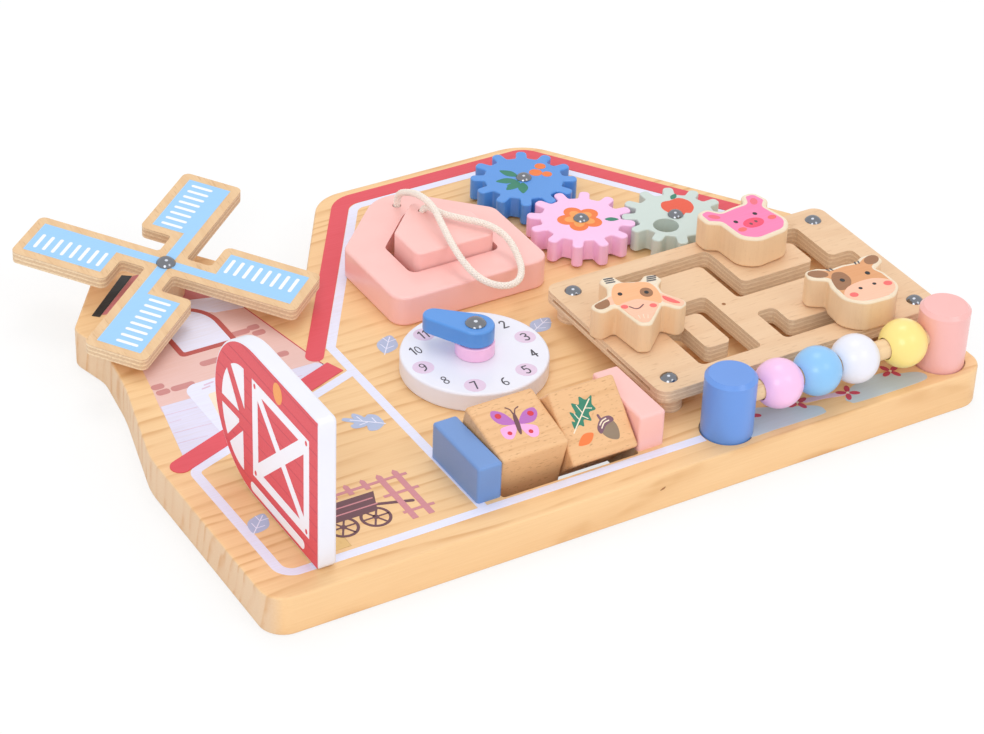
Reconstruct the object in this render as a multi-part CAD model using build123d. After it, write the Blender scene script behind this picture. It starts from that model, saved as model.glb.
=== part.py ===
from build123d import *
from math import acos, cos, pi, radians, sin, sqrt, tan
import os

# Wooden busy board for a small child: a thick pine board, cut to the outline of a barn with a
# windmill beside it, that carries toys which turn, slide, swing and lift out.
# The board lies flat. X runs along its straight front edge, Y towards its back and Z up from
# its underside. Everything is drawn in millimetres from the front-left corner of the outline,
# and export() moves the finished pieces to the middle of the outline, on the underside.

os.makedirs("parts", exist_ok=True)

# Running and fixed fits
turn_gap = 0.05        # radial play of a turning piece on its pin
fixed_gap = 0.05       # radial gap of a screw or dowel that is fixed in its hole
end_gap = 0.3          # play between a turning piece and what it turns against
slide_gap = 0.4        # play above and below a sliding piece

# Board
board_w = 380.5
board_d = 284.0
board_t = 20.0
board_round = 1.25     # rounded rim, top and underside
corner_r = 12.0
shoulder_y = 158.0     # where the barn's roof starts on the right
apex_x = 293.6         # right end of the barn's ridge
ridge_x = 171.1        # left end of the ridge
notch_x = 119.0        # notch between the barn's roof and the windmill's cap
notch_y = 201.0
cap_left_x = 41.0      # flat top of the windmill's cap
cap_right_x = 88.0
cap_y = 270.0
cap_foot_x = 117.0     # right foot of the cap's sloping side
cap_foot_y = 229.0
cap_eave_x = 12.0      # left foot of the cap's other side
apex_r = 28.0
ridge_r = 22.0
notch_r = 5.0
cap_foot_r = 8.0
cap_eave_r = 9.0
waist_x = 17.6         # left edge: in below the cap, then out to the foot of the tower
waist_y = 207.0
waist_r = 20.0
tower_x = 13.5
tower_y = 174.0
tower_r = 120.0
flare_y = 119.0
flare_r = 50.0

# Windmill: it leans towards the front
mill_x = 64.9
mill_y = 238.4
mill_axis = Vector(-0.022, -0.095, 1.0)
spacer_r = 9.0
spacer_h = 11.6
sail_t = 6.0
sail_turn = 38.2       # direction of the first sail
sail_count = 4
arm_half = 7.25
panel_edge = 24.5      # free edge of a sail's panel, from the arm's middle line
panel_start = 20.5
sail_reach = 71.0
sail_corner = 3.5
sail_inner = 2.0

# Dome-headed screws that pieces turn on
pin_r = 2.5
pin_depth = 12.0       # how far a screw goes into the board
mill_head_r = 4.7
mill_head_h = 2.8
gear_head_r = 4.0
gear_head_h = 2.4
clock_head_r = 5.0
clock_head_h = 2.6

# Gears
gear_teeth = 12
gear_module = 4.0
gear_t = 11.7
gear_tip_r = 27.2
gear_root_r = 20.2
tip_half = 2.7         # half width of a tooth at its tip
root_half = 2.9        # half width of a tooth at its root
tooth_round = 2.4
root_round = 1.5
gear_rim = 0.8         # rounded edge of the gears' faces
washer_r = 6.0
washer_t = 0.8
pink_x = 268.6
pink_y = 186.4
to_blue = 95.6         # direction from the pink gear to the blue one
to_green = -22.8       # direction from the pink gear to the green one
blue_phase = -3.6      # the blue gear's tooth next to the pink gear, from the line of centres
finger_r = 6.5
finger_reach = 11.7    # finger hole's middle, from the green gear's middle
finger_turn = 212.6

# Clock
clock_x = 163.3
clock_y = 111.5
dial_r = 35.1
dial_t = 10.0
dial_rim = 1.2
collar_r = 9.4
collar_t = 7.0
hand_t = 8.7
hand_hub_r = 9.0
hand_tip_r = 5.5
hand_length = 20.5
hand_turn = 129.0
hand_rim = 1.2

# House-shaped puzzle: a ring on the board and a loose block inside it
ring_x0 = 148.0
ring_x1 = 233.5
ring_y0 = 158.0
ring_shoulder = 212.0
ring_t = 16.0
ring_corner = 8.0
ring_apex_r = 20.0
ring_rim = 1.4
recess_x0 = 165.8
recess_x1 = 215.7
recess_y0 = 176.5
recess_shoulder = 203.0
recess_corner = 4.0
block_x0 = 169.5
block_x1 = 213.5
block_y0 = 177.6
block_shoulder = 200.7
block_t = 25.0
block_rim = 1.2

# Cord that ties the block to the ring, along the points of its route
cord_r = 1.7
cord_gap = 0.5         # radial play in the ring's hole
cord_hole_wall = 0.05  # radial gap in the block's hole
cord_route = [
    (190.5, 235.5, 22.0), (190.5, 235.5, 35.0), (190.8, 235.3, 46.0), (191.2, 228.0, 51.5),
    (192.0, 216.0, 56.0), (192.0, 202.0, 56.2), (188.8, 187.0, 53.0), (186.3, 172.0, 48.5),
    (186.8, 159.5, 42.8), (190.8, 150.5, 38.8), (198.5, 144.6, 36.8), (207.0, 145.0, 36.8),
    (213.0, 151.5, 38.0), (216.2, 161.0, 40.3), (216.8, 172.0, 44.8), (211.3, 181.0, 48.7),
    (203.5, 190.8, 48.4), (196.3, 200.8, 48.0), (191.5, 212.7, 49.2), (191.5, 212.7, 39.4)]

# Turning cubes in a window of the board
cube_s = 34.6
cube_rim = 1.5
cube_axis_y = 42.8
cube_axis_z = 25.0
cube_turns = (14.5, 45.0)
axle_r = 3.0
axle_hold = 8.0        # how far the axle goes into each holder
window_x0 = 124.0
window_x1 = 195.5
window_y0 = 18.8
window_y1 = 66.8
window_corner = 1.5
holder_y0 = 20.0
holder_y1 = 61.0
holder_h = 18.7
holder_left_w = 12.5
holder_right_w = 13.8
holder_rim = 1.5

# Bead rail
rail_y = 16.0
rail_z = 36.8
rail_r = 4.8
rail_hold = 7.0        # how far the rail goes into each post
post_left_x = 241.0
post_right_x = 363.0
post_r = 12.2
post_top = 51.0
post_chamfer = 1.8
post_sink = 2.0        # posts stand in shallow round seats
post_seat_gap = 0.6
bead_r = 11.75
bead_bore_r = 5.3
# Clear rail before each bead, from the left post's side or the bead before it
bead_spaces = {"pink": 4.613, "blue": 0.726, "white": 0.626, "yellow": 6.926}

# Maze
maze_x0 = 217.5
maze_x1 = 379.5
maze_y0 = 35.5
maze_y1 = 138.5
maze_corner = 6.0
maze_lift = 8.6        # from the board to the underside of the maze plate
maze_t = 6.4
liner_t = 2.2
liner_inset = 6.0
slot_w = 10.5
slot_corner = 3.0
bolt_inset_x = 10.25
bolt_inset_y = 9.9
standoff_r = 7.0
standoff_clear = 1.0
maze_bolt_r = 1.9
maze_head_r = 4.2
maze_head_h = 2.4
groove_h = 1.6
groove_d = 3.0
groove_runs = ((45.0, 82.0), (92.0, 130.0))
slot_runs = {
    "upper": [(253, 124, 300, 124), (300, 92, 300, 124), (300, 92, 364.5, 92),
              (352, 92, 352, 122), (326.5, 122, 352, 122), (364.5, 72, 364.5, 92)],
    "left": [(236, 90, 276, 90), (276, 52, 276, 90), (252, 52, 276, 52), (252, 52, 252, 75)],
    "front": [(300, 52.5, 300, 67), (300, 52.5, 343, 52.5)]}

# Animal heads that slide in the maze: middle of the head, its turn, place of its peg, and the
# right half of its outline from chin to crown as (x, y, corner radius)
peg_r = 4.75
peg_hold = 8.0         # how far a peg goes into its head
disc_r = 8.5
disc_t = 3.3
head_t = 16.0
head_rim = 1.2
heads = {
    "pig": (325.2, 119.2, 7.0, (326.5, 122.0),
            [(9, -14.4, 9), (16, -7.5, 9), (15, 8, 2), (20.2, 12.2, 3.5), (19, 22.2, 4.5),
             (11.2, 22.8, 4), (7.6, 16.6, 2), (0, 17, 3)]),
    "cow": (338.8, 49.3, -3.0, (338.8, 52.5),
            [(8, -16, 9), (16, -8, 9), (15.4, 4, 5), (13.4, 9, 1.5), (21.4, 13.8, 3),
             (19.6, 20.6, 3), (12.6, 20.6, 4), (7.4, 17.4, 2), (0, 18.2, 3)]),
    "goat": (237.0, 89.0, -22.0, (237.0, 90.0),
             [(2.8, -23.6, 3), (11, -7, 1.5), (18.4, -12, 3.2), (24, -6, 3.2), (13.2, 3, 4),
              (12.4, 9.6, 4), (15.2, 14.5, 2.5), (12.4, 19.4, 3), (7, 18.2, 2.5),
              (4, 13.6, 2.5)])}

# Barn door, standing open on two butt hinges behind its lower edge
door_x = 27.8          # printed face
door_t = 9.0
door_y0 = 10.0
door_straight = 69.5   # where the round end starts
door_h = 77.1
door_foot = 0.4        # from the board to the standing door
door_corner = 3.0
door_rim = 0.8
door_foot_round = 2.0
knuckle_r = 1.6
hinge_pin_r = 0.75
hinge_back = 1.8       # from the hinge line to the door's back face
hinge_rise = 2.1       # from the board to the hinge line
knuckle_clear = 0.4
hinge_length = 18.0
hinge_ends = 4.6       # length of each outer knuckle
hinge_places = (20.0, 52.0)
leaf_t = 0.9
board_leaf_w = 14.0
door_leaf_h = 10.9
leaf_screw_r = 1.1
leaf_screw_head_r = 2.0
leaf_screw_l = 6.0
leaf_screw_in = 4.5    # from a leaf's end to its screws
leaf_screw_back = 5.0  # from a leaf's free edge to its screws
leaf_fit = 0.1         # gap around a leaf in its mortise

# Screws from the underside that hold the fixed blocks
wood_screw_r = 1.8
wood_head_r = 3.5
wood_head_h = 2.0
wood_head_sink = 0.5
wood_head_gap = 0.2
holder_screw_in = 8.0  # from a holder's end to its screw
wood_screw_top = {"holder": 14.0, "post": 10.0, "ring": 11.0}
ring_screws = ((190.75, 167.0), (156.9, 190.0), (224.6, 190.0))

# Sizes that follow from the ones above
door_end_r = door_h / 2
gear_distance = gear_module * gear_teeth
gear_z = board_t + washer_t + end_gap
sail_z = spacer_h + end_gap
hinge_x = door_x + door_t - hinge_back
hinge_z = board_t + hinge_rise
maze_z = board_t + maze_lift
liner_z = maze_z - liner_t
maze_top = maze_z + maze_t
head_z = maze_top + slide_gap
disc_z = liner_z - slide_gap - disc_t
holder_left_x = window_x0 - holder_left_w
cube_gap = (window_x1 - window_x0 - 2 * cube_s) / 3
mill_plane = Plane(origin=(mill_x, mill_y, board_t), z_dir=mill_axis,
                   x_dir=Vector(0, 1, 0).cross(mill_axis))


def rounded(points):
    """Flat face on XY inside an outline of (x, y, corner radius) points."""
    corners = []
    for i, (x, y, r) in enumerate(points):
        here = Vector(x, y)
        back = (Vector(*points[i - 1][:2]) - here).normalized()
        ahead = (Vector(*points[(i + 1) % len(points)][:2]) - here).normalized()
        half = radians(back.get_angle(ahead)) / 2
        reach = r / tan(half)
        middle = here + (back + ahead).normalized() * (r / sin(half) - r)
        corners.append((here + back * reach, middle, here + ahead * reach))
    edges = []
    for i, (start, middle, end) in enumerate(corners):
        edges.append(ThreePointArc(start, middle, end))
        edges.append(Line(end, corners[(i + 1) % len(corners)][0]))
    return Face(Wire(edges))


def plate(points, z, thickness):
    return Pos(0, 0, z) * extrude(rounded(points), thickness, dir=(0, 0, 1))


def cylinder(r, h, x=0.0, y=0.0, z=0.0):
    """Upright cylinder that stands on z."""
    return Pos(x, y, z) * Cylinder(r, h, align=(Align.CENTER, Align.CENTER, Align.MIN))


def cylinder_x(r, x0, x1, y, z):
    return Pos((x0 + x1) / 2, y, z) * Rot(0, 90, 0) * Cylinder(r, x1 - x0)


def cylinder_y(r, y0, y1, x, z):
    return Pos(x, (y0 + y1) / 2, z) * Rot(90, 0, 0) * Cylinder(r, y1 - y0)


def block(x0, x1, y0, y1, z0, z1):
    return Pos(x0, y0, z0) * Box(x1 - x0, y1 - y0, z1 - z0, align=(Align.MIN,) * 3)


def soften(solid, radius):
    """Round the rims of the top and the underside."""
    faces = solid.faces().sort_by(Axis.Z)
    return fillet(faces[-1].edges() + faces[0].edges(), radius)


def dome_screw(head_r, head_h, shank_r, shank_l):
    """Screw with its seat on z = 0 and its shank below."""
    ball_r = (head_r ** 2 + head_h ** 2) / (2 * head_h)
    head = (Pos(0, 0, head_h - ball_r) * Sphere(ball_r)) & cylinder(head_r, head_h)
    return head + cylinder(shank_r, shank_l, z=-shank_l)


def polar(x, y, angle, reach):
    return x + reach * cos(radians(angle)), y + reach * sin(radians(angle))


def export(node, shape):
    shape = Pos(-board_w / 2, -board_d / 2, 0) * shape
    export_step(shape, f"parts/{node}.step")
    print(node, len(shape.solids()), round(shape.volume, 1))


# Windmill

def windmill_sails():
    corner = []
    for k in range(sail_count):
        turn = radians(sail_turn + 360 / sail_count * k)
        for r, t, radius in ((sail_reach, -arm_half, sail_corner),
                             (sail_reach, panel_edge, sail_corner),
                             (panel_start, panel_edge, sail_corner),
                             (panel_start, arm_half, sail_inner),
                             (arm_half, arm_half, sail_inner)):
            corner.append((r * cos(turn) - t * sin(turn), r * sin(turn) + t * cos(turn), radius))
    sails = plate(corner, sail_z, sail_t) - cylinder(pin_r + turn_gap, sail_t, z=sail_z)
    return mill_plane.location * sails


def windmill_spacer():
    """Round block, its foot cut flush with the board so that the windmill leans forward."""
    foot = spacer_r
    column = mill_plane.location * cylinder(spacer_r, spacer_h + foot, z=-foot)
    above = block(mill_x - 2 * spacer_r, mill_x + 2 * spacer_r, mill_y - 2 * spacer_r,
                  mill_y + 2 * spacer_r, board_t, board_t + 3 * spacer_h)
    return (column & above) - mill_bore(spacer_h)


def mill_bore(top):
    depth = pin_depth + top
    return mill_plane.location * cylinder(pin_r + fixed_gap, depth, z=-pin_depth)


def windmill_screw():
    seat = sail_z + sail_t + end_gap
    screw = dome_screw(mill_head_r, mill_head_h, pin_r, seat + pin_depth)
    return mill_plane.location * Pos(0, 0, seat) * screw


# Gears

def gear_face():
    """Blunt teeth with straight flanks and rounded corners, one tooth centred on +X."""
    points = []
    for k in range(gear_teeth):
        turn = radians(360 / gear_teeth * k)
        for r, t, radius in ((gear_root_r, -root_half, root_round),
                             (gear_tip_r, -tip_half, tooth_round),
                             (gear_tip_r, tip_half, tooth_round),
                             (gear_root_r, root_half, root_round)):
            points.append((r * cos(turn) - t * sin(turn), r * sin(turn) + t * cos(turn), radius))
    return rounded(points)


def gear_places():
    """Middle and tooth direction of each gear, in mesh with the pink one."""
    half_tooth = 180 / gear_teeth
    pink_tooth = to_blue - blue_phase + half_tooth
    blue_tooth = to_blue + 180 + blue_phase
    # The pink gear's gap nearest the green one, and the green tooth that stands in it
    gap = pink_tooth + half_tooth
    off = (gap - to_green + half_tooth) % (2 * half_tooth) - half_tooth
    green_tooth = to_green + 180 - off
    return {"blue": (*polar(pink_x, pink_y, to_blue, gear_distance), blue_tooth),
            "pink": (pink_x, pink_y, pink_tooth),
            "green": (*polar(pink_x, pink_y, to_green, gear_distance), green_tooth)}


def gear(colour):
    x, y, tooth = gear_places()[colour]
    solid = soften(extrude(gear_face(), gear_t, dir=(0, 0, 1)), gear_rim)
    solid -= cylinder(pin_r + turn_gap, gear_t)
    solid = Pos(x, y, gear_z) * Rot(0, 0, tooth) * solid
    if colour == "green":
        solid -= cylinder(finger_r, gear_t, *polar(x, y, finger_turn, finger_reach), gear_z)
    return solid


def gear_screw(x, y):
    seat = gear_z + gear_t + end_gap
    screw = dome_screw(gear_head_r, gear_head_h, pin_r, seat - board_t + pin_depth)
    return Pos(x, y, seat) * screw


def gear_washer(x, y):
    ring = cylinder(washer_r, washer_t) - cylinder(pin_r + fixed_gap, washer_t)
    return Pos(x, y, board_t) * ring


# Clock

def clock_dial():
    dial = soften(cylinder(dial_r, dial_t, clock_x, clock_y, board_t), dial_rim)
    return dial - cylinder(pin_r + fixed_gap, dial_t, clock_x, clock_y, board_t)


def clock_collar():
    z = board_t + dial_t
    collar = soften(cylinder(collar_r, collar_t, clock_x, clock_y, z), gear_rim)
    return collar - cylinder(pin_r + fixed_gap, collar_t, clock_x, clock_y, z)


def clock_hand():
    z = board_t + dial_t + collar_t + end_gap
    slope = acos((hand_hub_r - hand_tip_r) / hand_length)
    hub_x = hand_hub_r * cos(slope)
    hub_y = hand_hub_r * sin(slope)
    tip_x = hand_length + hand_tip_r * cos(slope)
    tip_y = hand_tip_r * sin(slope)
    outline = [Line((hub_x, -hub_y), (tip_x, -tip_y)),
               ThreePointArc((tip_x, -tip_y), (hand_length + hand_tip_r, 0), (tip_x, tip_y)),
               Line((tip_x, tip_y), (hub_x, hub_y)),
               ThreePointArc((hub_x, hub_y), (-hand_hub_r, 0), (hub_x, -hub_y))]
    hand = soften(extrude(Face(Wire(outline)), hand_t, dir=(0, 0, 1)), hand_rim)
    hand -= cylinder(pin_r + turn_gap, hand_t)
    return Pos(clock_x, clock_y, z) * Rot(0, 0, hand_turn) * hand


def clock_screw():
    rise = dial_t + collar_t + end_gap + hand_t + end_gap
    screw = dome_screw(clock_head_r, clock_head_h, pin_r, rise + pin_depth)
    return Pos(clock_x, clock_y, board_t + rise) * screw


# Puzzle

def house(x0, x1, y0, shoulder, corner, apex_corner):
    """Outline of a house with a roof of 45 degrees."""
    half = (x1 - x0) / 2
    return [(x0, y0, corner), (x1, y0, corner), (x1, shoulder, corner),
            (x0 + half, shoulder + half, apex_corner), (x0, shoulder, corner)]


def puzzle_frame():
    outline = house(ring_x0, ring_x1, ring_y0, ring_shoulder, ring_corner, ring_apex_r)
    recess = house(recess_x0, recess_x1, recess_y0, recess_shoulder, recess_corner, recess_corner)
    ring = soften(plate(outline, board_t, ring_t), ring_rim)
    ring -= plate(recess, board_t, ring_t)
    x, y, _ = cord_route[0]
    return ring - cylinder(cord_r + cord_gap, ring_t, x, y, board_t) - wood_screw_bores()


def puzzle_block():
    outline = house(block_x0, block_x1, block_y0, block_shoulder, recess_corner, recess_corner)
    solid = soften(plate(outline, board_t, block_t), block_rim)
    x, y, z = cord_route[-1]
    return solid - cylinder(cord_r + cord_hole_wall, board_t + block_t - z, x, y, z)


def tether_cord():
    points = [Vector(*p) for p in cord_route]
    radii = []
    for before, here, after in zip(points, points[1:], points[2:]):
        turn = radians((here - before).get_angle(after - here))
        shorter = min((here - before).length, (after - here).length)
        radii.append(0.45 * shorter / tan(turn / 2))
    print("cord radii", [round(r, 1) for r in radii])
    path = FilletPolyline(*points, radius=radii)
    section = Plane(origin=path @ 0, z_dir=path % 0) * Circle(cord_r)
    cord = sweep(section, path=path)
    print("cord volume", round(cord.volume, 1), "section x length",
          round(pi * cord_r ** 2 * path.length, 1), "length", round(path.length, 1))
    return cord


# Turning cubes

def cube_holder(x0, width):
    holder = block(x0, x0 + width, holder_y0, holder_y1, board_t, board_t + holder_h)
    edges = holder.edges().filter_by(lambda e: e.center().Z > board_t + 0.1)
    return fillet(edges, holder_rim) - axle(fixed_gap) - wood_screw_bores()


def axle(extra=0.0):
    return cylinder_x(axle_r + extra, window_x0 - axle_hold, window_x1 + axle_hold,
                      cube_axis_y, cube_axis_z)


def cube(number):
    x0 = window_x0 + cube_gap + number * (cube_s + cube_gap)
    solid = fillet(Box(cube_s, cube_s, cube_s).edges(), cube_rim)
    middle = Pos(x0 + cube_s / 2, cube_axis_y, cube_axis_z)
    return middle * Rot(cube_turns[number], 0, 0) * solid - axle(turn_gap)


# Bead rail

def rail(extra=0.0):
    return cylinder_x(rail_r + extra, post_left_x + post_r - rail_hold,
                      post_right_x - post_r + rail_hold, rail_y, rail_z)


def rail_post(x):
    z = board_t - post_sink
    post = cylinder(post_r, post_top - z, x, rail_y, z)
    post = chamfer(post.faces().sort_by(Axis.Z)[-1].edges(), post_chamfer)
    return post - rail(fixed_gap) - wood_screw_bores()


def bead(colour):
    half = sqrt(bead_r ** 2 - bead_bore_r ** 2)
    x = post_left_x + post_r - half
    for name, space in bead_spaces.items():
        x += space + 2 * half
        if name == colour:
            break
    outline = [ThreePointArc((-half, bead_bore_r), (0, bead_r), (half, bead_bore_r)),
               Line((half, bead_bore_r), (-half, bead_bore_r))]
    ring = revolve(Face(Wire(outline)), Axis.X)
    return Pos(x, rail_y, rail_z) * ring


# Maze

def maze_bolts():
    return [(x, y) for x in (maze_x0 + bolt_inset_x, maze_x1 - bolt_inset_x)
            for y in (maze_y0 + bolt_inset_y, maze_y1 - bolt_inset_y)]


def maze_slots(z, thickness):
    """The slots as solids, to cut from a plate."""
    slots = []
    for runs in slot_runs.values():
        face = Sketch()
        for x0, y0, x1, y1 in runs:
            middle = Pos((x0 + x1) / 2, (y0 + y1) / 2)
            face += middle * Rectangle(x1 - x0 + slot_w, y1 - y0 + slot_w)
        face = fillet(face.vertices(), slot_corner)
        slots.append(Pos(0, 0, z) * extrude(face, thickness, dir=(0, 0, 1)))
    return slots


def sheet(inset, z, thickness):
    x0, x1 = maze_x0 + inset, maze_x1 - inset
    y0, y1 = maze_y0 + inset, maze_y1 - inset
    outline = [(x, y, maze_corner) for x, y in ((x0, y0), (x1, y0), (x1, y1), (x0, y1))]
    return plate(outline, z, thickness) - maze_slots(z, thickness)


def maze_plate():
    solid = sheet(0, maze_z, maze_t)
    middle = maze_z + maze_t / 2
    for y0, y1 in groove_runs:
        solid -= block(maze_x0, maze_x0 + groove_d, y0, y1,
                       middle - groove_h / 2, middle + groove_h / 2)
    for x, y in maze_bolts():
        solid -= cylinder(maze_bolt_r + fixed_gap, maze_t, x, y, maze_z)
    return solid


def maze_under_plate():
    solid = sheet(liner_inset, liner_z, liner_t)
    for x, y in maze_bolts():
        solid -= cylinder(standoff_r + standoff_clear, liner_t, x, y, liner_z)
    return solid


def maze_standoff(x, y):
    ring = cylinder(standoff_r, maze_lift) - cylinder(maze_bolt_r + fixed_gap, maze_lift)
    return Pos(x, y, board_t) * ring


def maze_screw(x, y):
    shank_l = maze_top - board_t + pin_depth
    return Pos(x, y, maze_top) * dome_screw(maze_head_r, maze_head_h, maze_bolt_r, shank_l)


# Animal heads in the maze

def head_peg(name, extra=0.0):
    x, y = heads[name][3]
    return cylinder(peg_r + extra, head_z + peg_hold - disc_z, x, y, disc_z)


def head(name):
    x, y, turn, _, right = heads[name]
    left = [(-px, py, r) for px, py, r in reversed(right) if px > 0]
    solid = extrude(rounded(right + left), head_t, dir=(0, 0, 1))
    solid = Pos(x, y, head_z) * Rot(0, 0, turn) * soften(solid, head_rim)
    return solid - head_peg(name, fixed_gap)


def head_disc(name):
    x, y = heads[name][3]
    return cylinder(disc_r, disc_t, x, y, disc_z) - head_peg(name, fixed_gap)


# Barn door and its hinges

def barn_door():
    """Drawn flat, front edge first, then stood up facing -X."""
    tip = door_straight - door_y0
    outline = [Line((tip, 0), (door_corner, 0)),
               ThreePointArc((door_corner, 0), (corner_inset(), corner_inset()),
                             (0, door_corner)),
               Line((0, door_corner), (0, door_h - door_corner)),
               ThreePointArc((0, door_h - door_corner), (corner_inset(), door_h - corner_inset()),
                             (door_corner, door_h)),
               Line((door_corner, door_h), (tip, door_h)),
               ThreePointArc((tip, door_h), (tip + door_end_r, door_h / 2), (tip, 0))]
    stand = Plane(origin=(door_x, door_y0, board_t + door_foot), x_dir=(0, 1, 0),
                  z_dir=(1, 0, 0))
    solid = stand.location * extrude(Face(Wire(outline)), door_t, dir=(0, 0, 1))
    back = door_x + door_t
    foot = solid.edges().filter_by(lambda e: abs(e.center().X - back) < 0.01
                                   and e.center().Z < board_t + door_foot + 0.01)
    solid = fillet(foot, door_foot_round)
    front = solid.faces().sort_by(Axis.X)[0].edges()
    solid = fillet(front, door_rim)
    clear = knuckle_r + knuckle_clear
    for y in hinge_places:
        solid -= block(hinge_x - clear, back, y - knuckle_clear,
                       y + hinge_length + knuckle_clear, board_t, hinge_z + clear)
        solid -= block(leaf_x0() - leaf_fit, back, y - leaf_fit, y + hinge_length + leaf_fit,
                       hinge_z, hinge_z + clear + door_leaf_h + leaf_fit)
    return solid - door_leaf_screws(fixed_gap)


def corner_inset():
    return door_corner * (1 - sqrt(0.5))


def leaf_x0():
    return hinge_x + knuckle_r - leaf_t


def outer_knuckles(y):
    return ((y, y + hinge_ends), (y + hinge_length - hinge_ends, y + hinge_length))


def hinge_board_leaf(y):
    """Flat leaf let into the board, with a riser to each outer knuckle."""
    leaf = block(hinge_x - leaf_t, hinge_x + board_leaf_w, y, y + hinge_length,
                 board_t - leaf_t, board_t)
    for y0, y1 in outer_knuckles(y):
        leaf += block(hinge_x - leaf_t, hinge_x + leaf_t, y0, y1, board_t - leaf_t, hinge_z)
        leaf += cylinder_y(knuckle_r, y0, y1, hinge_x, hinge_z)
    leaf -= hinge_pin(y, turn_gap)
    return leaf - board_leaf_screws(fixed_gap)


def hinge_door_leaf(y):
    """Flat leaf let into the door's back, with a tab to the middle knuckle."""
    y0 = y + hinge_ends + end_gap
    y1 = y + hinge_length - hinge_ends - end_gap
    x0 = leaf_x0()
    bottom = hinge_z + knuckle_r + knuckle_clear
    leaf = block(x0, x0 + leaf_t, y, y + hinge_length, bottom, bottom + door_leaf_h)
    leaf += block(x0, x0 + leaf_t, y0, y1, hinge_z, bottom)
    leaf += cylinder_y(knuckle_r, y0, y1, hinge_x, hinge_z)
    leaf -= hinge_pin(y, turn_gap)
    return leaf - door_leaf_screws(fixed_gap)


def hinge_pin(y, extra=0.0):
    return cylinder_y(hinge_pin_r + extra, y, y + hinge_length, hinge_x, hinge_z)


def flat_screw(extra):
    """Countersunk screw, flush with z = 0, as deep in its leaf as the leaf is thick."""
    cone = Cone(leaf_screw_r + extra, leaf_screw_head_r + extra, leaf_t)
    shank = cylinder(leaf_screw_r + extra, leaf_screw_l, z=-leaf_t - leaf_screw_l)
    return Pos(0, 0, -leaf_t / 2) * cone + shank


def leaf_screw_places():
    return [y + along for y in hinge_places
            for along in (leaf_screw_in, hinge_length - leaf_screw_in)]


def board_leaf_screws(extra=0.0):
    x = hinge_x + board_leaf_w - leaf_screw_back
    return [Pos(x, y, board_t) * flat_screw(extra) for y in leaf_screw_places()]


def door_leaf_screws(extra=0.0):
    x = hinge_x + knuckle_r
    z = hinge_z + knuckle_r + knuckle_clear + door_leaf_h - leaf_screw_back
    return [Pos(x, y, z) * Rot(0, 90, 0) * flat_screw(extra) for y in leaf_screw_places()]


# Screws from the underside

def wood_screw_places():
    """Middle of each screw and the height that its tip reaches above the board."""
    places = []
    for x in (window_x0 - holder_left_w / 2, window_x1 + holder_right_w / 2):
        for y in (holder_y0 + holder_screw_in, holder_y1 - holder_screw_in):
            places.append((x, y, wood_screw_top["holder"]))
    places += [(x, rail_y, wood_screw_top["post"]) for x in (post_left_x, post_right_x)]
    places += [(x, y, wood_screw_top["ring"]) for x, y in ring_screws]
    return places


def wood_screw(x, y, rise, extra=0.0, head_extra=0.0, head_z0=wood_head_sink):
    head_top = wood_head_sink + wood_head_h
    head = cylinder(wood_head_r + head_extra, head_top - head_z0, x, y, head_z0)
    return head + cylinder(wood_screw_r + extra, board_t + rise - head_top, x, y, head_top)


def wood_screw_bores():
    return [wood_screw(x, y, rise, fixed_gap, wood_head_gap, 0)
            for x, y, rise in wood_screw_places()]


# Board

def base_board():
    outline = [(0, 0, corner_r), (board_w, 0, corner_r), (board_w, shoulder_y, corner_r),
               (apex_x, board_d, apex_r), (ridge_x, board_d, ridge_r),
               (notch_x, notch_y, notch_r), (cap_foot_x, cap_foot_y, cap_foot_r),
               (cap_right_x, cap_y, corner_r), (cap_left_x, cap_y, corner_r),
               (cap_eave_x, cap_foot_y, cap_eave_r), (waist_x, waist_y, waist_r),
               (tower_x, tower_y, tower_r), (0, flare_y, flare_r)]
    board = soften(plate(outline, 0, board_t), board_round)
    window = [(window_x0, window_y0, window_corner), (window_x1, window_y0, window_corner),
              (window_x1, window_y1, window_corner), (window_x0, window_y1, window_corner)]
    board -= plate(window, 0, board_t)
    board -= mill_bore(spacer_h)
    for x, y, _ in gear_places().values():
        board -= cylinder(pin_r + fixed_gap, pin_depth, x, y, board_t - pin_depth)
    board -= cylinder(pin_r + fixed_gap, pin_depth, clock_x, clock_y, board_t - pin_depth)
    for x, y in maze_bolts():
        board -= cylinder(maze_bolt_r + fixed_gap, pin_depth, x, y, board_t - pin_depth)
    for x in (post_left_x, post_right_x):
        board -= cylinder(post_r + post_seat_gap, post_sink, x, rail_y, board_t - post_sink)
    for y in hinge_places:
        board -= block(hinge_x - leaf_t - leaf_fit, hinge_x + board_leaf_w + leaf_fit,
                       y - leaf_fit, y + hinge_length + leaf_fit, board_t - leaf_t, board_t)
    return board - board_leaf_screws(fixed_gap) - wood_screw_bores()


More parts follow.
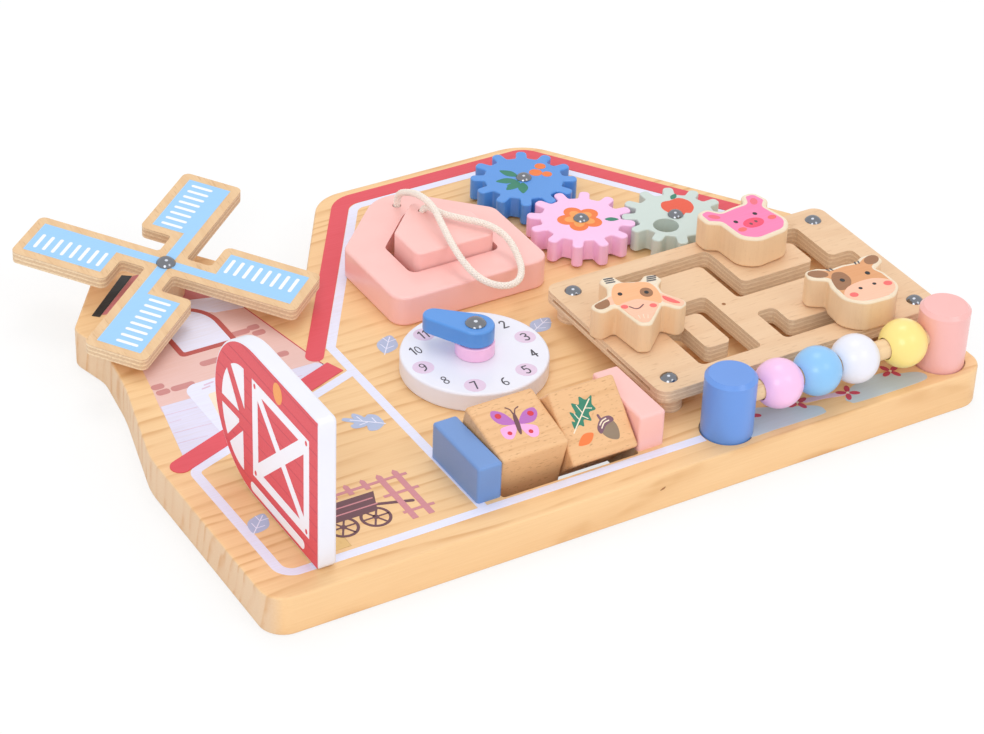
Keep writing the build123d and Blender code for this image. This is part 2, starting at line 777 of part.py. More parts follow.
def main():
    export("base_board", base_board())
    export("underside_screws", Compound([wood_screw(*place) for place in wood_screw_places()]))

    export("windmill_sails", windmill_sails())
    export("windmill_spacer", windmill_spacer())
    export("windmill_screw", windmill_screw())

    export("barn_door", barn_door())
    export("hinge_board_leaves", Compound([hinge_board_leaf(y) for y in hinge_places]))
    export("hinge_door_leaves", Compound([hinge_door_leaf(y) for y in hinge_places]))
    export("hinge_pins", Compound([hinge_pin(y) for y in hinge_places]))
    export("hinge_board_screws", Compound(board_leaf_screws()))
    export("hinge_door_screws", Compound(door_leaf_screws()))

    export("puzzle_frame", puzzle_frame())
    export("puzzle_block", puzzle_block())
    export("tether_cord", tether_cord())

    export("clock_dial", clock_dial())
    export("clock_collar", clock_collar())
    export("clock_hand", clock_hand())
    export("clock_screw", clock_screw())

    places = gear_places()
    for colour in places:
        export(f"gear_{colour}", gear(colour))
    export("gear_washers", Compound([gear_washer(x, y) for x, y, _ in places.values()]))
    export("gear_screws", Compound([gear_screw(x, y) for x, y, _ in places.values()]))

    export("maze_plate", maze_plate())
    export("maze_under_plate", maze_under_plate())
    export("maze_standoffs", Compound([maze_standoff(x, y) for x, y in maze_bolts()]))
    export("maze_screws", Compound([maze_screw(x, y) for x, y in maze_bolts()]))
    for name in heads:
        export(f"{name}_head", head(name))
        export(f"{name}_peg", head_peg(name))
        export(f"{name}_disc", head_disc(name))

    export("bead_rail", rail())
    export("rail_post_left", rail_post(post_left_x))
    export("rail_post_right", rail_post(post_right_x))
    for colour in bead_spaces:
        export(f"bead_{colour}", bead(colour))

    export("cube_holder_left", cube_holder(holder_left_x, holder_left_w))
    export("cube_holder_right", cube_holder(window_x1, holder_right_w))
    export("cube_axle", axle())
    export("cube_left", cube(0))
    export("cube_right", cube(1))


main()
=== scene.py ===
import bmesh
import bpy
from math import cos, pi, radians, sin
from mathutils import Matrix, Vector


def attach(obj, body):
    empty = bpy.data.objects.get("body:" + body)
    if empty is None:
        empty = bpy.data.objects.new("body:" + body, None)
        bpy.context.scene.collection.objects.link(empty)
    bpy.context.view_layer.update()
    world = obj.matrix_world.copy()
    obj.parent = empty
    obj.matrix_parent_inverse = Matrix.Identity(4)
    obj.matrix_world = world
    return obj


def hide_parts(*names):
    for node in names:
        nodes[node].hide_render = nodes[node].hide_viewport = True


# Wooden busy board: finishes, printed decoration and the block's cotton cord.
# Places on the board are in millimetres from the front-left corner of its outline, X along the
# front edge, Y towards the back, Z up from the underside. place() turns them into the frame.

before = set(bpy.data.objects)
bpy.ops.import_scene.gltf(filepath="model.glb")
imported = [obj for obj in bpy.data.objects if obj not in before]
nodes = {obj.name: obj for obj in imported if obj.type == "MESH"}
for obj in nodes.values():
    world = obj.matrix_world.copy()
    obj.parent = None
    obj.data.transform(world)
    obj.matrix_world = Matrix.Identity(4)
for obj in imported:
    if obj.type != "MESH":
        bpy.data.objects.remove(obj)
for name in ("Cube", "Light", "Camera"):
    if name in bpy.data.objects:
        bpy.data.objects.remove(bpy.data.objects[name])
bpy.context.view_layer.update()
scene = bpy.context.scene

MM = 0.001
middle_x, middle_y = 190.25, 142.0
board_top = 20.0


def place(x, y, z):
    return Vector(((x - middle_x) * MM, (y - middle_y) * MM, z * MM))


def linear(hex_colour):
    """sRGB hex such as "F0CD9B" as a linear colour."""
    parts = [int(hex_colour[i:i + 2], 16) / 255 for i in (0, 2, 4)]
    return [c / 12.92 if c <= 0.04045 else ((c + 0.055) / 1.055) ** 2.4 for c in parts] + [1.0]


def stand(name, data):
    """A new object in the scene."""
    piece = bpy.data.objects.new(name, data)
    scene.collection.objects.link(piece)
    return piece


def from_bmesh(name, mesh, material):
    """A new object from a bmesh, which is freed."""
    data = bpy.data.meshes.new(name)
    mesh.to_mesh(data)
    mesh.free()
    data.materials.append(material)
    return stand(name, data)


# Camera

lens = bpy.data.cameras.new("camera")
lens.lens = 106.6
lens.sensor_width = 36.0
lens.clip_start = 0.05
camera = stand("camera", lens)
camera_eye = place(-426.1, -851.2, 785.1)
camera_aim = place(187.55, 134.66, 0)
camera_roll = 2.33
look = (camera_aim - camera_eye).to_track_quat("-Z", "Y").to_matrix().to_4x4()
camera.matrix_world = (Matrix.Translation(camera_eye) @ look
                       @ Matrix.Rotation(radians(camera_roll), 4, "Z"))
scene.camera = camera
scene.view_settings.view_transform = "Standard"


# Nodes and materials. Each pattern has a real size in millimetres. Fibres, pores, yarn and the
# skin of paint and ink are really 0.1 to 0.3 mm wide, and are drawn coarser so that they show.

cloud_mm = 16.0         # patches of paler and darker wood or thinner paint
break_mm = 13.0         # where a growth ring fades and comes back
wander_mm = 14.0        # how far apart a glued ply is thicker or thinner
ply_mm = 1.15
fleck_mm = 1.3
turning_mm = 1.2
fibre_mm = 0.9
pore_mm = 0.8
skin_mm = 0.7
yarn_mm = 0.5


def add(tree, kind, inputs, **settings):
    """Adds a shader node and gives its outputs. inputs maps a socket to a value or to the output
    that feeds it."""
    made = tree.nodes.new("ShaderNode" + kind)
    for name, value in settings.items():
        setattr(made, name, value)
    for socket, value in inputs.items():
        if isinstance(value, bpy.types.NodeSocket):
            tree.links.new(value, made.inputs[socket])
        else:
            made.inputs[socket].default_value = value
    return made.outputs


def start(name, values):
    """A new material, its tree, its surface shader with some values, and the coordinates."""
    made = bpy.data.materials.new(name)
    made.use_nodes = True
    tree = made.node_tree
    shader = tree.nodes["Principled BSDF"]
    for socket, value in values.items():
        shader.inputs[socket].default_value = value
    return made, tree, shader, add(tree, "TexCoord", {})


def drawn_out(along, by):
    """A scale of the coordinates that draws a pattern out in the grain's direction."""
    return [by if axis == along else 1.0 for axis in "XYZ"]


def specks(tree, spot, size_mm, detail=2.0, stretch=None, roughness=0.5):
    """Noise in specks of a real size."""
    if stretch:
        spot = add(tree, "VectorMath", {0: spot, 1: stretch}, operation="MULTIPLY")[0]
    return add(tree, "TexNoise", {"Vector": spot, "Scale": 1 / (size_mm * MM), "Detail": detail,
                                  "Roughness": roughness})["Fac"]


def lay(tree, under, over, pattern, low, high, most=1.0):
    """Lays a colour over another where a pattern rises from low to high, at most by a share."""
    share = add(tree, "MapRange", {0: pattern, 1: low, 2: high, 4: most})[0]
    return add(tree, "Mix", {0: share, 6: under, 7: over}, data_type="RGBA")[2]


def facing(tree, normal, axis):
    """How squarely a surface faces along an axis, either way."""
    lean = add(tree, "VectorMath", {0: normal, 1: axis}, operation="DOT_PRODUCT")["Value"]
    return add(tree, "Math", {0: lean}, operation="ABSOLUTE")[0]


def dress(tree, shader, pattern, colour=None, rough=None, relief=None):
    """Gives a surface its colour, and what follows a pattern on it: from least to most roughness,
    and a relief of a strength and a depth in millimetres."""
    if colour:
        tree.links.new(colour, shader.inputs["Base Color"])
    if rough:
        spread = add(tree, "MapRange", {0: pattern, 1: 0.3, 2: 0.7, 3: rough[0], 4: rough[1]})[0]
        tree.links.new(spread, shader.inputs["Roughness"])
    if relief:
        raised = add(tree, "Bump", {"Strength": relief[0], "Distance": relief[1] * MM,
                                    "Height": pattern})[0]
        tree.links.new(raised, shader.inputs["Normal"])


def grain(tree, spot, along, heart, ring_mm, sway_rings=0.8, sway_mm=12.0):
    """Late wood of growth rings round a heart line in the grain's direction, unevenly spaced and
    slowly swaying, each darkening towards a soft outer edge. Also its fibres and its patches."""
    stretch = [1.0, 1.0, 0.35]
    stretch["XYZ".index(along)] = 0.14
    moved = add(tree, "VectorMath", {0: spot, 1: -heart}, operation="ADD")[0]
    across = add(tree, "VectorMath", {0: moved, 1: drawn_out(along, 0.0)}, operation="MULTIPLY")[0]
    radius = add(tree, "VectorMath", {0: across}, operation="LENGTH")["Value"]
    sway = add(tree, "MapRange", {0: specks(tree, moved, sway_mm, stretch=stretch),
                                  3: -sway_rings, 4: sway_rings})[0]
    turns = add(tree, "Math", {0: radius, 1: 1 / (ring_mm * MM), 2: sway},
                operation="MULTIPLY_ADD")[0]
    year = add(tree, "Math", {0: turns}, operation="FRACT")[0]
    rise = add(tree, "MapRange", {0: year, 1: 0.3, 2: 0.84}, interpolation_type="SMOOTHSTEP")[0]
    fall = add(tree, "MapRange", {0: year, 1: 0.84, 2: 1.0, 3: 1.0, 4: 0.0},
               interpolation_type="SMOOTHSTEP")[0]
    rings = add(tree, "Math", {0: rise, 1: fall}, operation="MULTIPLY")[0]
    fibres = specks(tree, moved, fibre_mm, 4.0, drawn_out(along, 0.03), 0.6)
    return rings, fibres, specks(tree, moved, cloud_mm, stretch=stretch)


def solid_wood(name, pale, dark, along, heart, ring_mm, bump=0.25, ring_share=0.55,
               sway_rings=0.8, sway_mm=12.0, late_power=1.6, flecks=0.0, end_grain=None, rim=None):
    """Solid wood, sawn and sanded: growth rings of pale early and darker late wood that come and
    go, fine fibres along the grain, greyer end grain, and in beech the short dark flecks of its
    rays. rim is a height in millimetres above which a pale primer tints the rounded edge."""
    made, tree, shader, spots = start(name, {})
    spot = spots["Object"]
    rings, fibres, clouds = grain(tree, spot, along, heart, ring_mm, sway_rings, sway_mm)
    late = add(tree, "Math", {0: rings, 1: late_power}, operation="POWER")[0]
    breaks = specks(tree, spot, break_mm, stretch=drawn_out(along, 0.4))
    strength = add(tree, "MapRange", {0: breaks, 1: 0.42, 2: 0.62, 3: 0.2 * ring_share,
                                      4: ring_share})[0]
    share = add(tree, "Math", {0: late, 1: strength}, operation="MULTIPLY")[0]
    base, dark = linear(pale), linear(dark)
    if end_grain:
        end = facing(tree, spots["Normal"], (1.0, 0.0, 0.0))
        base = lay(tree, base, linear(end_grain), end, 0.45, 0.85)
    colour = add(tree, "Mix", {0: share, 6: base, 7: dark}, data_type="RGBA")[2]
    colour = lay(tree, colour, dark, fibres, 0.35, 0.75, 0.14)
    colour = lay(tree, colour, dark, clouds, 0.4, 0.7, 0.12)
    if flecks:
        pores = specks(tree, spot, pore_mm, 1.0, drawn_out(along, 0.3))
        colour = lay(tree, colour, linear("A87040"), pores, 0.62, 0.74, flecks)
    if rim:
        height = add(tree, "SeparateXYZ", {0: spot})[2]
        colour = lay(tree, colour, linear("EEDFC6"), height, rim * MM, (rim + 0.4) * MM, 0.8)
    dress(tree, shader, fibres, colour, (0.45, 0.57), (bump, 0.15))
    return made


def layered_wood(name, face, face_dark, edge_pale, edge_tan, glue, axis, along="X"):
    """Birch plywood, sawn and sanded: a plain veneer on both faces, and on the edges its plies,
    pale long grain and tan end grain in turn with thin glue lines between them."""
    made, tree, shader, spots = start(name, {})
    spot, face_dark, long = spots["Object"], linear(face_dark), drawn_out(along, 0.16)
    rings, fibres = grain(tree, spot, along, Vector((0.03, -0.02, -0.16)), 7.0)[:2]
    veneer = lay(tree, linear(face), face_dark, rings, 0.0, 1.0, 0.3)
    veneer = lay(tree, veneer, face_dark, fibres, 0.35, 0.75, 0.3)
    veneer = lay(tree, veneer, linear("B98A5C"), specks(tree, spot, fleck_mm, stretch=long),
                 0.6, 0.72, 0.35)
    height = add(tree, "VectorMath", {0: spot, 1: axis}, operation="DOT_PRODUCT")["Value"]
    shift = add(tree, "MapRange", {0: specks(tree, spot, wander_mm), 3: -0.2, 4: 0.2})[0]
    turns = add(tree, "Math", {0: height, 1: 1 / (2 * ply_mm * MM), 2: shift},
                operation="MULTIPLY_ADD")[0]
    ply = add(tree, "Math", {0: turns}, operation="FRACT")[0]
    plies = add(tree, "ValToRGB", {0: ply})[0]
    ramp = plies.node.color_ramp
    stops = ((0.0, edge_pale), (0.5, edge_pale), (0.56, glue), (0.62, edge_tan),
             (0.9, edge_tan), (0.95, glue))
    for k, (at, shade) in enumerate(stops):
        stop = ramp.elements[k] if k < 2 else ramp.elements.new(at)
        stop.position = at
        stop.color = linear(shade)
    splinters = specks(tree, spot, skin_mm, 3.0, long)
    edge = lay(tree, plies, linear(glue), splinters, 0.42, 0.7, 0.5)
    colour = lay(tree, edge, veneer, facing(tree, spots["Normal"], axis), 0.75, 0.92)
    dress(tree, shader, fibres, colour, (0.47, 0.59), (0.3, 0.15))
    return made


def paint(name, hex_colour, shade=None):
    """Water-based satin paint, sprayed on sanded wood: an even colour with a soft gloss, a little
    thinner in cloudy patches, over the faint relief of the fibres."""
    made, tree, shader, spots = start(name, {"Coat Weight": 0.3, "Coat Roughness": 0.1})
    clouds = specks(tree, spots["Object"], cloud_mm, 3.0)
    deeper = linear(shade) if shade else [c * 0.82 for c in linear(hex_colour)[:3]] + [1.0]
    colour = lay(tree, linear(hex_colour), deeper, clouds, 0.35, 0.7, 0.16)
    skin = specks(tree, spots["Object"], skin_mm, 3.0)
    dress(tree, shader, skin, colour, (0.31, 0.42), (0.12, 0.1))
    return made


def ink(name, hex_colour, show=0.25):
    """Pad-printed ink on lacquered wood: a thin even film that lets the fibres show faintly."""
    made, tree, shader, spots = start(name, {})
    fibres = specks(tree, spots["Object"], pore_mm, 3.0, drawn_out("X", 0.05))
    wood_tint = [c * t for c, t in zip(linear(hex_colour), linear("F0DDC2")[:3])] + [1.0]
    colour = lay(tree, linear(hex_colour), wood_tint, fibres, 0.35, 0.75, show)
    dress(tree, shader, fibres, colour, (0.44, 0.56))
    return made


def steel(name, hex_colour, roughness):
    """Plated steel, cold headed or pressed: bright and smooth with the faintest turned marks."""
    made, tree, shader, spots = start(name, {"Base Color": linear(hex_colour), "Metallic": 1.0})
    marks = specks(tree, spots["Object"], turning_mm)
    dress(tree, shader, marks, rough=(roughness - 0.04, roughness + 0.06))
    return made


def cotton(name, hex_colour, shade):
    """Braided cotton cord, undyed: soft matt yarn with a pale nap, and painted shade in random
    darker specks that stand for the hollows between yarns.
    """
    made, tree, shader, spots = start(name, {"Roughness": 0.9, "Sheen Weight": 0.3,
                                             "Sheen Roughness": 0.5})
    yarn = specks(tree, spots["Object"], yarn_mm, 4.0)
    # Painted shade: the darker colour in random yarn specks stands for shade in the hollows.
    colour = lay(tree, linear(hex_colour), linear(shade), yarn, 0.35, 0.7, 0.5)
    dress(tree, shader, yarn, colour, relief=(0.6, 0.2))
    return made


upright = Vector((0, 0, 1))
mill_axis = Vector((-0.022, -0.095, 1.0)).normalized()
pine = solid_wood("lacquered_pine", "F5CC98", "CE9252", "X", Vector((0.02, -0.6, -0.1)), 8.0,
                  ring_share=0.58, sway_rings=1.5, sway_mm=26.0, late_power=2.0,
                  end_grain="E4C6A4")
maze_ply = layered_wood("sanded_birch_plywood", "EAC7A2", "DCB28A", "F3DDC0", "E9D0B0", "CFAE8E",
                        upright)
sail_ply = layered_wood("sanded_birch_plywood_tilted", "E8C498", "D8AB7C", "EFD6B2", "E0C09A",
                        "C4A180", mill_axis, "Y")
beech = solid_wood("turned_beech", "EFCFA6", "DDB285", "Z", Vector((0.06, 0.02, 0)), 3.0,
                   ring_share=0.35, flecks=0.2)
rail_beech = solid_wood("turned_beech_rail", "F0D0A4", "DDB285", "X", Vector((0, -0.1, 0.02)), 2.4,
                        flecks=0.2)
cube_beech = solid_wood("lacquered_beech_cubes", "EABB8A", "D29C66", "X",
                        Vector((0.03, -0.24, 0)), 5.0, ring_share=0.4, flecks=0.5)
head_beech = solid_wood("sanded_beech_heads", "F3D3AC", "E4BE92", "Z", Vector((0.02, 0.09, 0)),
                        3.0, ring_share=0.25, bump=0.1, flecks=0.08, rim=50.3)
blue = paint("satin_mid_blue_paint", "6B92CE")
deep_blue = paint("satin_deep_blue_paint", "5092DF")
post_blue = paint("satin_cornflower_blue_paint", "6494E0")
pink = paint("satin_pink_paint", "F9C5EC")
rose = paint("satin_rose_paint", "FBC4BE", "F5AEA6")
post_rose = paint("satin_pale_rose_paint", "F4B7B3")
green = paint("satin_grey_green_paint", "CBD8D2")
white = paint("satin_white_paint", "ECECF7")
yellow = paint("satin_yellow_paint", "FBE389")
light_blue = paint("satin_light_blue_paint", "8CC4F2")
red_ink = ink("red_ink", "DF4E5B")
line_ink = ink("lavender_white_ink", "E8E9FE")
siding_ink = ink("siding_lavender_ink", "E0DCF3")
pale_ink = ink("white_ink", "F6F5FE", 0.03)
brick_ink = ink("brick_pink_ink", "E9C1BA")
brick_dark_ink = ink("brick_rose_ink", "CC8A88")
joint_ink = ink("joint_pink_ink", "DDC2D8")
frame_ink = ink("window_red_ink", "B9544F")
cap_ink = ink("cap_rose_ink", "C9767A")
black_ink = ink("black_ink", "17171A", 0.05)
sail_ink = ink("sail_blue_ink", "9CCDF8", 0.08)
plank_ink = ink("plank_red_ink", "CC4A5A")
orange_ink = ink("orange_ink", "F4A45A")
number_ink = ink("number_charcoal_ink", "46434C", 0.05)
dial_ink = ink("dial_mauve_ink", "E2CBE2", 0.1)
leaf_ink = ink("leaf_grey_blue_ink", "B2BEDD", 0.12)
puddle_ink = ink("pool_grey_blue_ink", "C0CDD4", 0.15)
petal_ink = ink("petal_crimson_ink", "C8455F")
cart_ink = ink("cart_plum_ink", "6B434C")
fence_ink = ink("fence_pink_ink", "D08A92")
forest_ink = ink("forest_green_ink", "2F7F66", 0.15)
carrot_ink = ink("deep_orange_ink", "F07C3C", 0.15)
apple_ink = ink("apple_red_ink", "E65A40", 0.15)
violet_ink = ink("violet_ink", "B96BBC", 0.15)
candy_ink = ink("candy_pink_ink", "F2AEE0", 0.15)
scarlet_ink = ink("scarlet_ink", "D5303E", 0.15)
acorn_ink = ink("acorn_brown_ink", "8F7B66", 0.15)
acorn_cap_ink = ink("acorn_plum_ink", "7B5566", 0.15)
cream_ink = ink("cream_ink", "F4E4CC", 0.1)
pig_ink = ink("pig_pink_ink", "FA84B6", 0.2)
pig_ear_ink = ink("pig_ear_salmon_ink", "EE7080", 0.15)
snout_ink = ink("snout_red_ink", "F04E70", 0.15)
cheek_ink = ink("cheek_red_ink", "F26E6C", 0.2)
goat_ink = ink("goat_orange_ink", "FCB888", 0.25)
muzzle_ink = ink("muzzle_peach_ink", "FCC4A8", 0.2)
brown_ink = ink("eye_patch_brown_ink", "9C6E4C", 0.25)
cow_ink = ink("cow_tan_ink", "E0A271", 0.3)
horn_ink = ink("horn_grey_ink", "4A4A52", 0.1)
rim_ink = ink("horn_white_ink", "EEE1CC", 0.3)
knot_ink = ink("pine_knot", "9A6436", 0.6)
# Painted reflection: the nickel is coloured darker than its own bright grey, to stand for dark
# surroundings reflected in the screws' domes.
screw_steel_painted_dark = steel("nickel_plated_steel_painted_dark", "7F8187", 0.1)
plain_steel = steel("zinc_plated_steel", "BFC0C4", 0.3)
hinge_brass = steel("brass_plated_steel", "DDB77E", 0.34)
# EADBCA is the yarn's painted shade.
cord_cotton = cotton("braided_cotton", "FDF3EA", "EADBCA")

finishes = {
    pine: ["base_board"],
    maze_ply: ["maze_plate", "maze_under_plate", "maze_standoffs"],
    sail_ply: ["windmill_sails"],
    head_beech: ["pig_head", "cow_head", "goat_head"],
    beech: ["pig_peg", "cow_peg", "goat_peg", "pig_disc", "cow_disc", "goat_disc",
            "windmill_spacer"],
    rail_beech: ["bead_rail", "cube_axle"],
    cube_beech: ["cube_left", "cube_right"],
    white: ["barn_door", "clock_dial", "bead_white"],
    deep_blue: ["clock_hand", "gear_blue"],
    post_blue: ["rail_post_left"],
    blue: ["cube_holder_left"],
    light_blue: ["bead_blue"],
    yellow: ["bead_yellow"],
    pink: ["clock_collar", "gear_pink", "bead_pink"],
    rose: ["puzzle_frame", "puzzle_block", "cube_holder_right"],
    post_rose: ["rail_post_right"],
    green: ["gear_green"],
    screw_steel_painted_dark: ["windmill_screw", "clock_screw", "gear_screws", "maze_screws"],
    plain_steel: ["gear_washers", "underside_screws"],
    hinge_brass: ["hinge_board_leaves", "hinge_door_leaves", "hinge_pins", "hinge_board_screws",
                  "hinge_door_screws"]}
for finish, pieces in finishes.items():
    for name in pieces:
        mesh = nodes[name].data
        mesh.materials.clear()
        mesh.materials.append(finish)


# Cord from the ring's hole, over the block and in a loop on the ring, back to the block

braid_step = 0.45       # how finely the yarns' windings are drawn
yarn_lift = 0.2         # how far a yarn rises over another, and dips under the next
yarn_width = 1.5        # of a flattened yarn, in thicknesses
cord_route = [
    (190.5, 235.5, 22.0), (190.5, 235.5, 34.0), (190.7, 235.3, 42.6), (191.2, 228.0, 47.6),
    (192.0, 216.0, 52.4), (192.0, 202.0, 53.0), (188.8, 187.0, 50.6), (186.3, 172.0, 47.4),
    (186.8, 159.5, 42.8), (190.8, 150.5, 38.8), (198.5, 144.6, 36.8), (207.0, 145.0, 36.8),
    (213.0, 151.5, 38.0), (216.2, 161.0, 40.3), (216.8, 172.0, 44.8), (211.3, 181.0, 48.7),
    (203.5, 190.8, 48.4), (196.3, 200.8, 48.0), (191.5, 212.7, 49.2), (191.5, 212.7, 39.4)]


def route_curve(name, points, bevel=0.0):
    curve = bpy.data.curves.new(name, "CURVE")
    curve.dimensions = "3D"
    curve.resolution_u = 10
    curve.bevel_depth = bevel
    curve.bevel_resolution = 3
    curve.use_fill_caps = True
    spline = curve.splines.new("NURBS")
    spline.points.add(len(points) - 1)
    for point, spot in zip(spline.points, points):
        point.co = (*place(*spot), 1.0)
    spline.order_u = 3
    spline.use_endpoint_u = True
    return stand(name, curve)


def along_route(piece):
    """Points of a curve's own line, in order."""
    mesh = bpy.data.meshes.new_from_object(piece)
    spots = [v.co.copy() for v in mesh.vertices]
    bpy.data.meshes.remove(mesh)
    return spots


def even(spots, step):
    """The same line with points a step apart."""
    kept = [spots[0]]
    left = step
    for a, b in zip(spots, spots[1:]):
        run = (b - a).length
        while run >= left:
            a = a + (b - a) * (left / run)
            kept.append(a)
            run = (b - a).length
            left = step
        left -= run
    return kept


guide = route_curve("cord_guide", cord_route)
cord_line = even(along_route(guide), braid_step * MM)
bpy.data.objects.remove(guide)


def braid(name, spots, radius, yarns, pitch, yarn_r):
    """Yarns wound both ways round a line, each over one and under the next."""
    sides = 5
    edges = [2 * pi * s / sides for s in range(sides)]
    mesh = bmesh.new()
    frames = []
    side = Vector((1, 0, 0))
    for k, spot in enumerate(spots):
        ahead = (spots[min(k + 1, len(spots) - 1)] - spots[max(k - 1, 0)]).normalized()
        side = (side - ahead * side.dot(ahead)).normalized()
        frames.append((spot, side.copy(), ahead.cross(side), ahead))
    for way in (1, -1):
        for yarn in range(yarns):
            rows = []
            for k, (spot, u, v, ahead) in enumerate(frames):
                turn = way * 2 * pi * k * braid_step / pitch + 2 * pi * yarn / yarns
                weave = cos(turn * yarns * way + (0 if way > 0 else pi))
                out = u * cos(turn) + v * sin(turn)
                round_it = ahead.cross(out)
                middle = spot + out * (radius + yarn_lift * MM * weave)
                rows.append([mesh.verts.new(middle + yarn_r * (
                    out * cos(a) + round_it * sin(a) * yarn_width)) for a in edges])
            for a, b in zip(rows, rows[1:]):
                for s in range(sides):
                    mesh.faces.new((a[s], a[(s + 1) % sides], b[(s + 1) % sides], b[s]))
            mesh.faces.new(rows[0][::-1])
            mesh.faces.new(rows[-1])
    bmesh.ops.recalc_face_normals(mesh, faces=mesh.faces)
    piece = from_bmesh(name, mesh, cord_cotton)
    piece.data.shade_smooth()
    return piece


cord = route_curve("cord_core", cord_route, 1.4 * MM)
cord.data.materials.append(cord_cotton)
cord_braid = braid("cord_braid", cord_line, 1.3 * MM, 6, 10.0, 0.36 * MM)
for piece in (cord, cord_braid):
    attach(piece, "puzzle_block")
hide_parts("tether_cord")


# Shapes to print, each an outline of points

arc_step = 0.5          # between the points of a rounded corner
bends = 6               # points from one given point of a bent line to the next


def rounded(points):
    """Outline of (x, y, corner radius) points."""
    line = []
    for k, (x, y, r) in enumerate(points):
        here = Vector((x, y))
        back = (Vector(points[k - 1][:2]) - here).normalized()
        ahead = (Vector(points[(k + 1) % len(points)][:2]) - here).normalized()
        half = back.angle(ahead) / 2
        if r == 0:
            line.append(here)
            continue
        middle = here + (back + ahead).normalized() * (r / sin(half))
        first = here + back * (r * cos(half) / sin(half)) - middle
        last = here + ahead * (r * cos(half) / sin(half)) - middle
        sweep = first.angle_signed(last)
        count = max(3, int(abs(sweep) * r / arc_step) + 1)
        for s in range(count + 1):
            out = first.copy()
            out.rotate(Matrix.Rotation(-sweep * s / count, 2))
            line.append(middle + out)
    return line


def oval(x, y, rx, ry=None, turn=0.0):
    ry, count = ry or rx, 36
    c, s = cos(radians(turn)), sin(radians(turn))
    return [Vector((x + rx * cos(a) * c - ry * sin(a) * s, y + rx * cos(a) * s + ry * sin(a) * c))
            for a in (2 * pi * k / count for k in range(count))]


def bar(x0, y0, x1, y1, width, round_ends=True):
    """A straight stroke from one point to another."""
    a, b = Vector((x0, y0)), Vector((x1, y1))
    way = (b - a).normalized()
    side = Vector((-way.y, way.x)) * width / 2
    if not round_ends:
        return [a + side, a - side, b - side, b + side]
    line = []
    for end, sense in ((b, way), (a, -way)):
        across = Vector((-sense.y, sense.x)) * width / 2
        line += [end + across * cos(pi * k / 10) * -1 + sense * width / 2 * sin(pi * k / 10)
                 for k in range(11)]
    return line


def offset(line, by):
    """A closed outline moved to its left by a distance."""
    moved = []
    for k, here in enumerate(line):
        back = (here - line[k - 1]).normalized()
        ahead = (line[(k + 1) % len(line)] - here).normalized()
        left = Vector((-back.y - ahead.y, back.x + ahead.x))
        left = left / max(left.dot(Vector((-back.y, back.x))), 0.2)
        moved.append(here + left * by)
    return moved


def track(points, width):
    """An open line of (x, y, corner radius) points, drawn with a width and square ends."""
    half = width / 2
    sides = []
    for by in (half, -half):
        line = []
        for k, (x, y, r) in enumerate(points):
            here = Vector((x, y))
            back = here - Vector(points[k - 1][:2]) if k else None
            ahead = Vector(points[k + 1][:2]) - here if k < len(points) - 1 else None
            a = (back or ahead).normalized()
            b = (ahead or back).normalized()
            left = Vector((-a.y - b.y, a.x + b.x))
            left = left / left.dot(Vector((-a.y, a.x)))
            turns_left = a.x * b.y - a.y * b.x > 0
            new_r = 0 if not r else max(r - by if turns_left else r + by, 0.3)
            line.append((*(here + left * by), new_r))
        sides.append(line)
    return rounded(sides[0] + sides[1][::-1])


def turned(lines, x, y, turn):
    """Outlines turned about the origin and moved to x, y."""
    c, s = cos(radians(turn)), sin(radians(turn))
    return [[Vector((x + p[0] * c - p[1] * s, y + p[0] * s + p[1] * c)) for p in line]
            for line in lines]


def bend(a, b, c, d):
    """Points from b towards c of a line bent evenly through all four."""
    return [0.5 * (2 * b + (c - a) * t + (2 * a - 5 * b + 4 * c - d) * t ** 2
                   + (3 * b - a - 3 * c + d) * t ** 3) for t in (s / bends for s in range(bends))]


def smooth(points):
    """A closed outline bent evenly through points."""
    line = []
    for k in range(len(points)):
        line += bend(*(Vector(points[(k + j) % len(points)]) for j in (-1, 0, 1, 2)))
    return line


def brush(points, width):
    """A stroke of one width with round ends, bent evenly through points."""
    spots = [Vector(p) for p in points]
    spots = [2 * spots[0] - spots[1]] + spots + [2 * spots[-1] - spots[-2]]
    line = []
    for four in zip(spots, spots[1:], spots[2:], spots[3:]):
        line += bend(*four)
    line.append(spots[-2])
    left, right = [], []
    for k, here in enumerate(line):
        way = (line[min(k + 1, len(line) - 1)] - line[max(k - 1, 0)]).normalized()
        side = Vector((-way.y, way.x)) * width / 2
        left.append(here + side)
        right.append(here - side)
    ends = []
    for here, way in ((line[-1], line[-1] - line[-2]), (line[0], line[0] - line[1])):
        way = way.normalized() * width / 2
        side = Vector((way.y, -way.x))
        ends.append([here + side * cos(pi * s / 6) + way * sin(pi * s / 6) for s in range(1, 6)])
    return right + ends[0] + left[::-1] + ends[1]


def corners(*points):
    return [Vector(p) for p in points]


def on_surface(x, y, z, turn=0.0, axis="Z"):
    """Carries a drawing's millimetres to a surface, turned by degrees about an axis."""
    return (Matrix.Translation(place(x, y, z)) @ Matrix.Scale(MM, 4)
            @ Matrix.Rotation(radians(turn), 4, axis))


top = on_surface(0, 0, board_top)
ink_t = 0.06            # thickness of a layer of ink, enough to keep its edge
ink_sink = 0.03         # how far a print's underside lies in the surface
ink_step = 0.001        # keeps overlapping shapes of one ink off one level


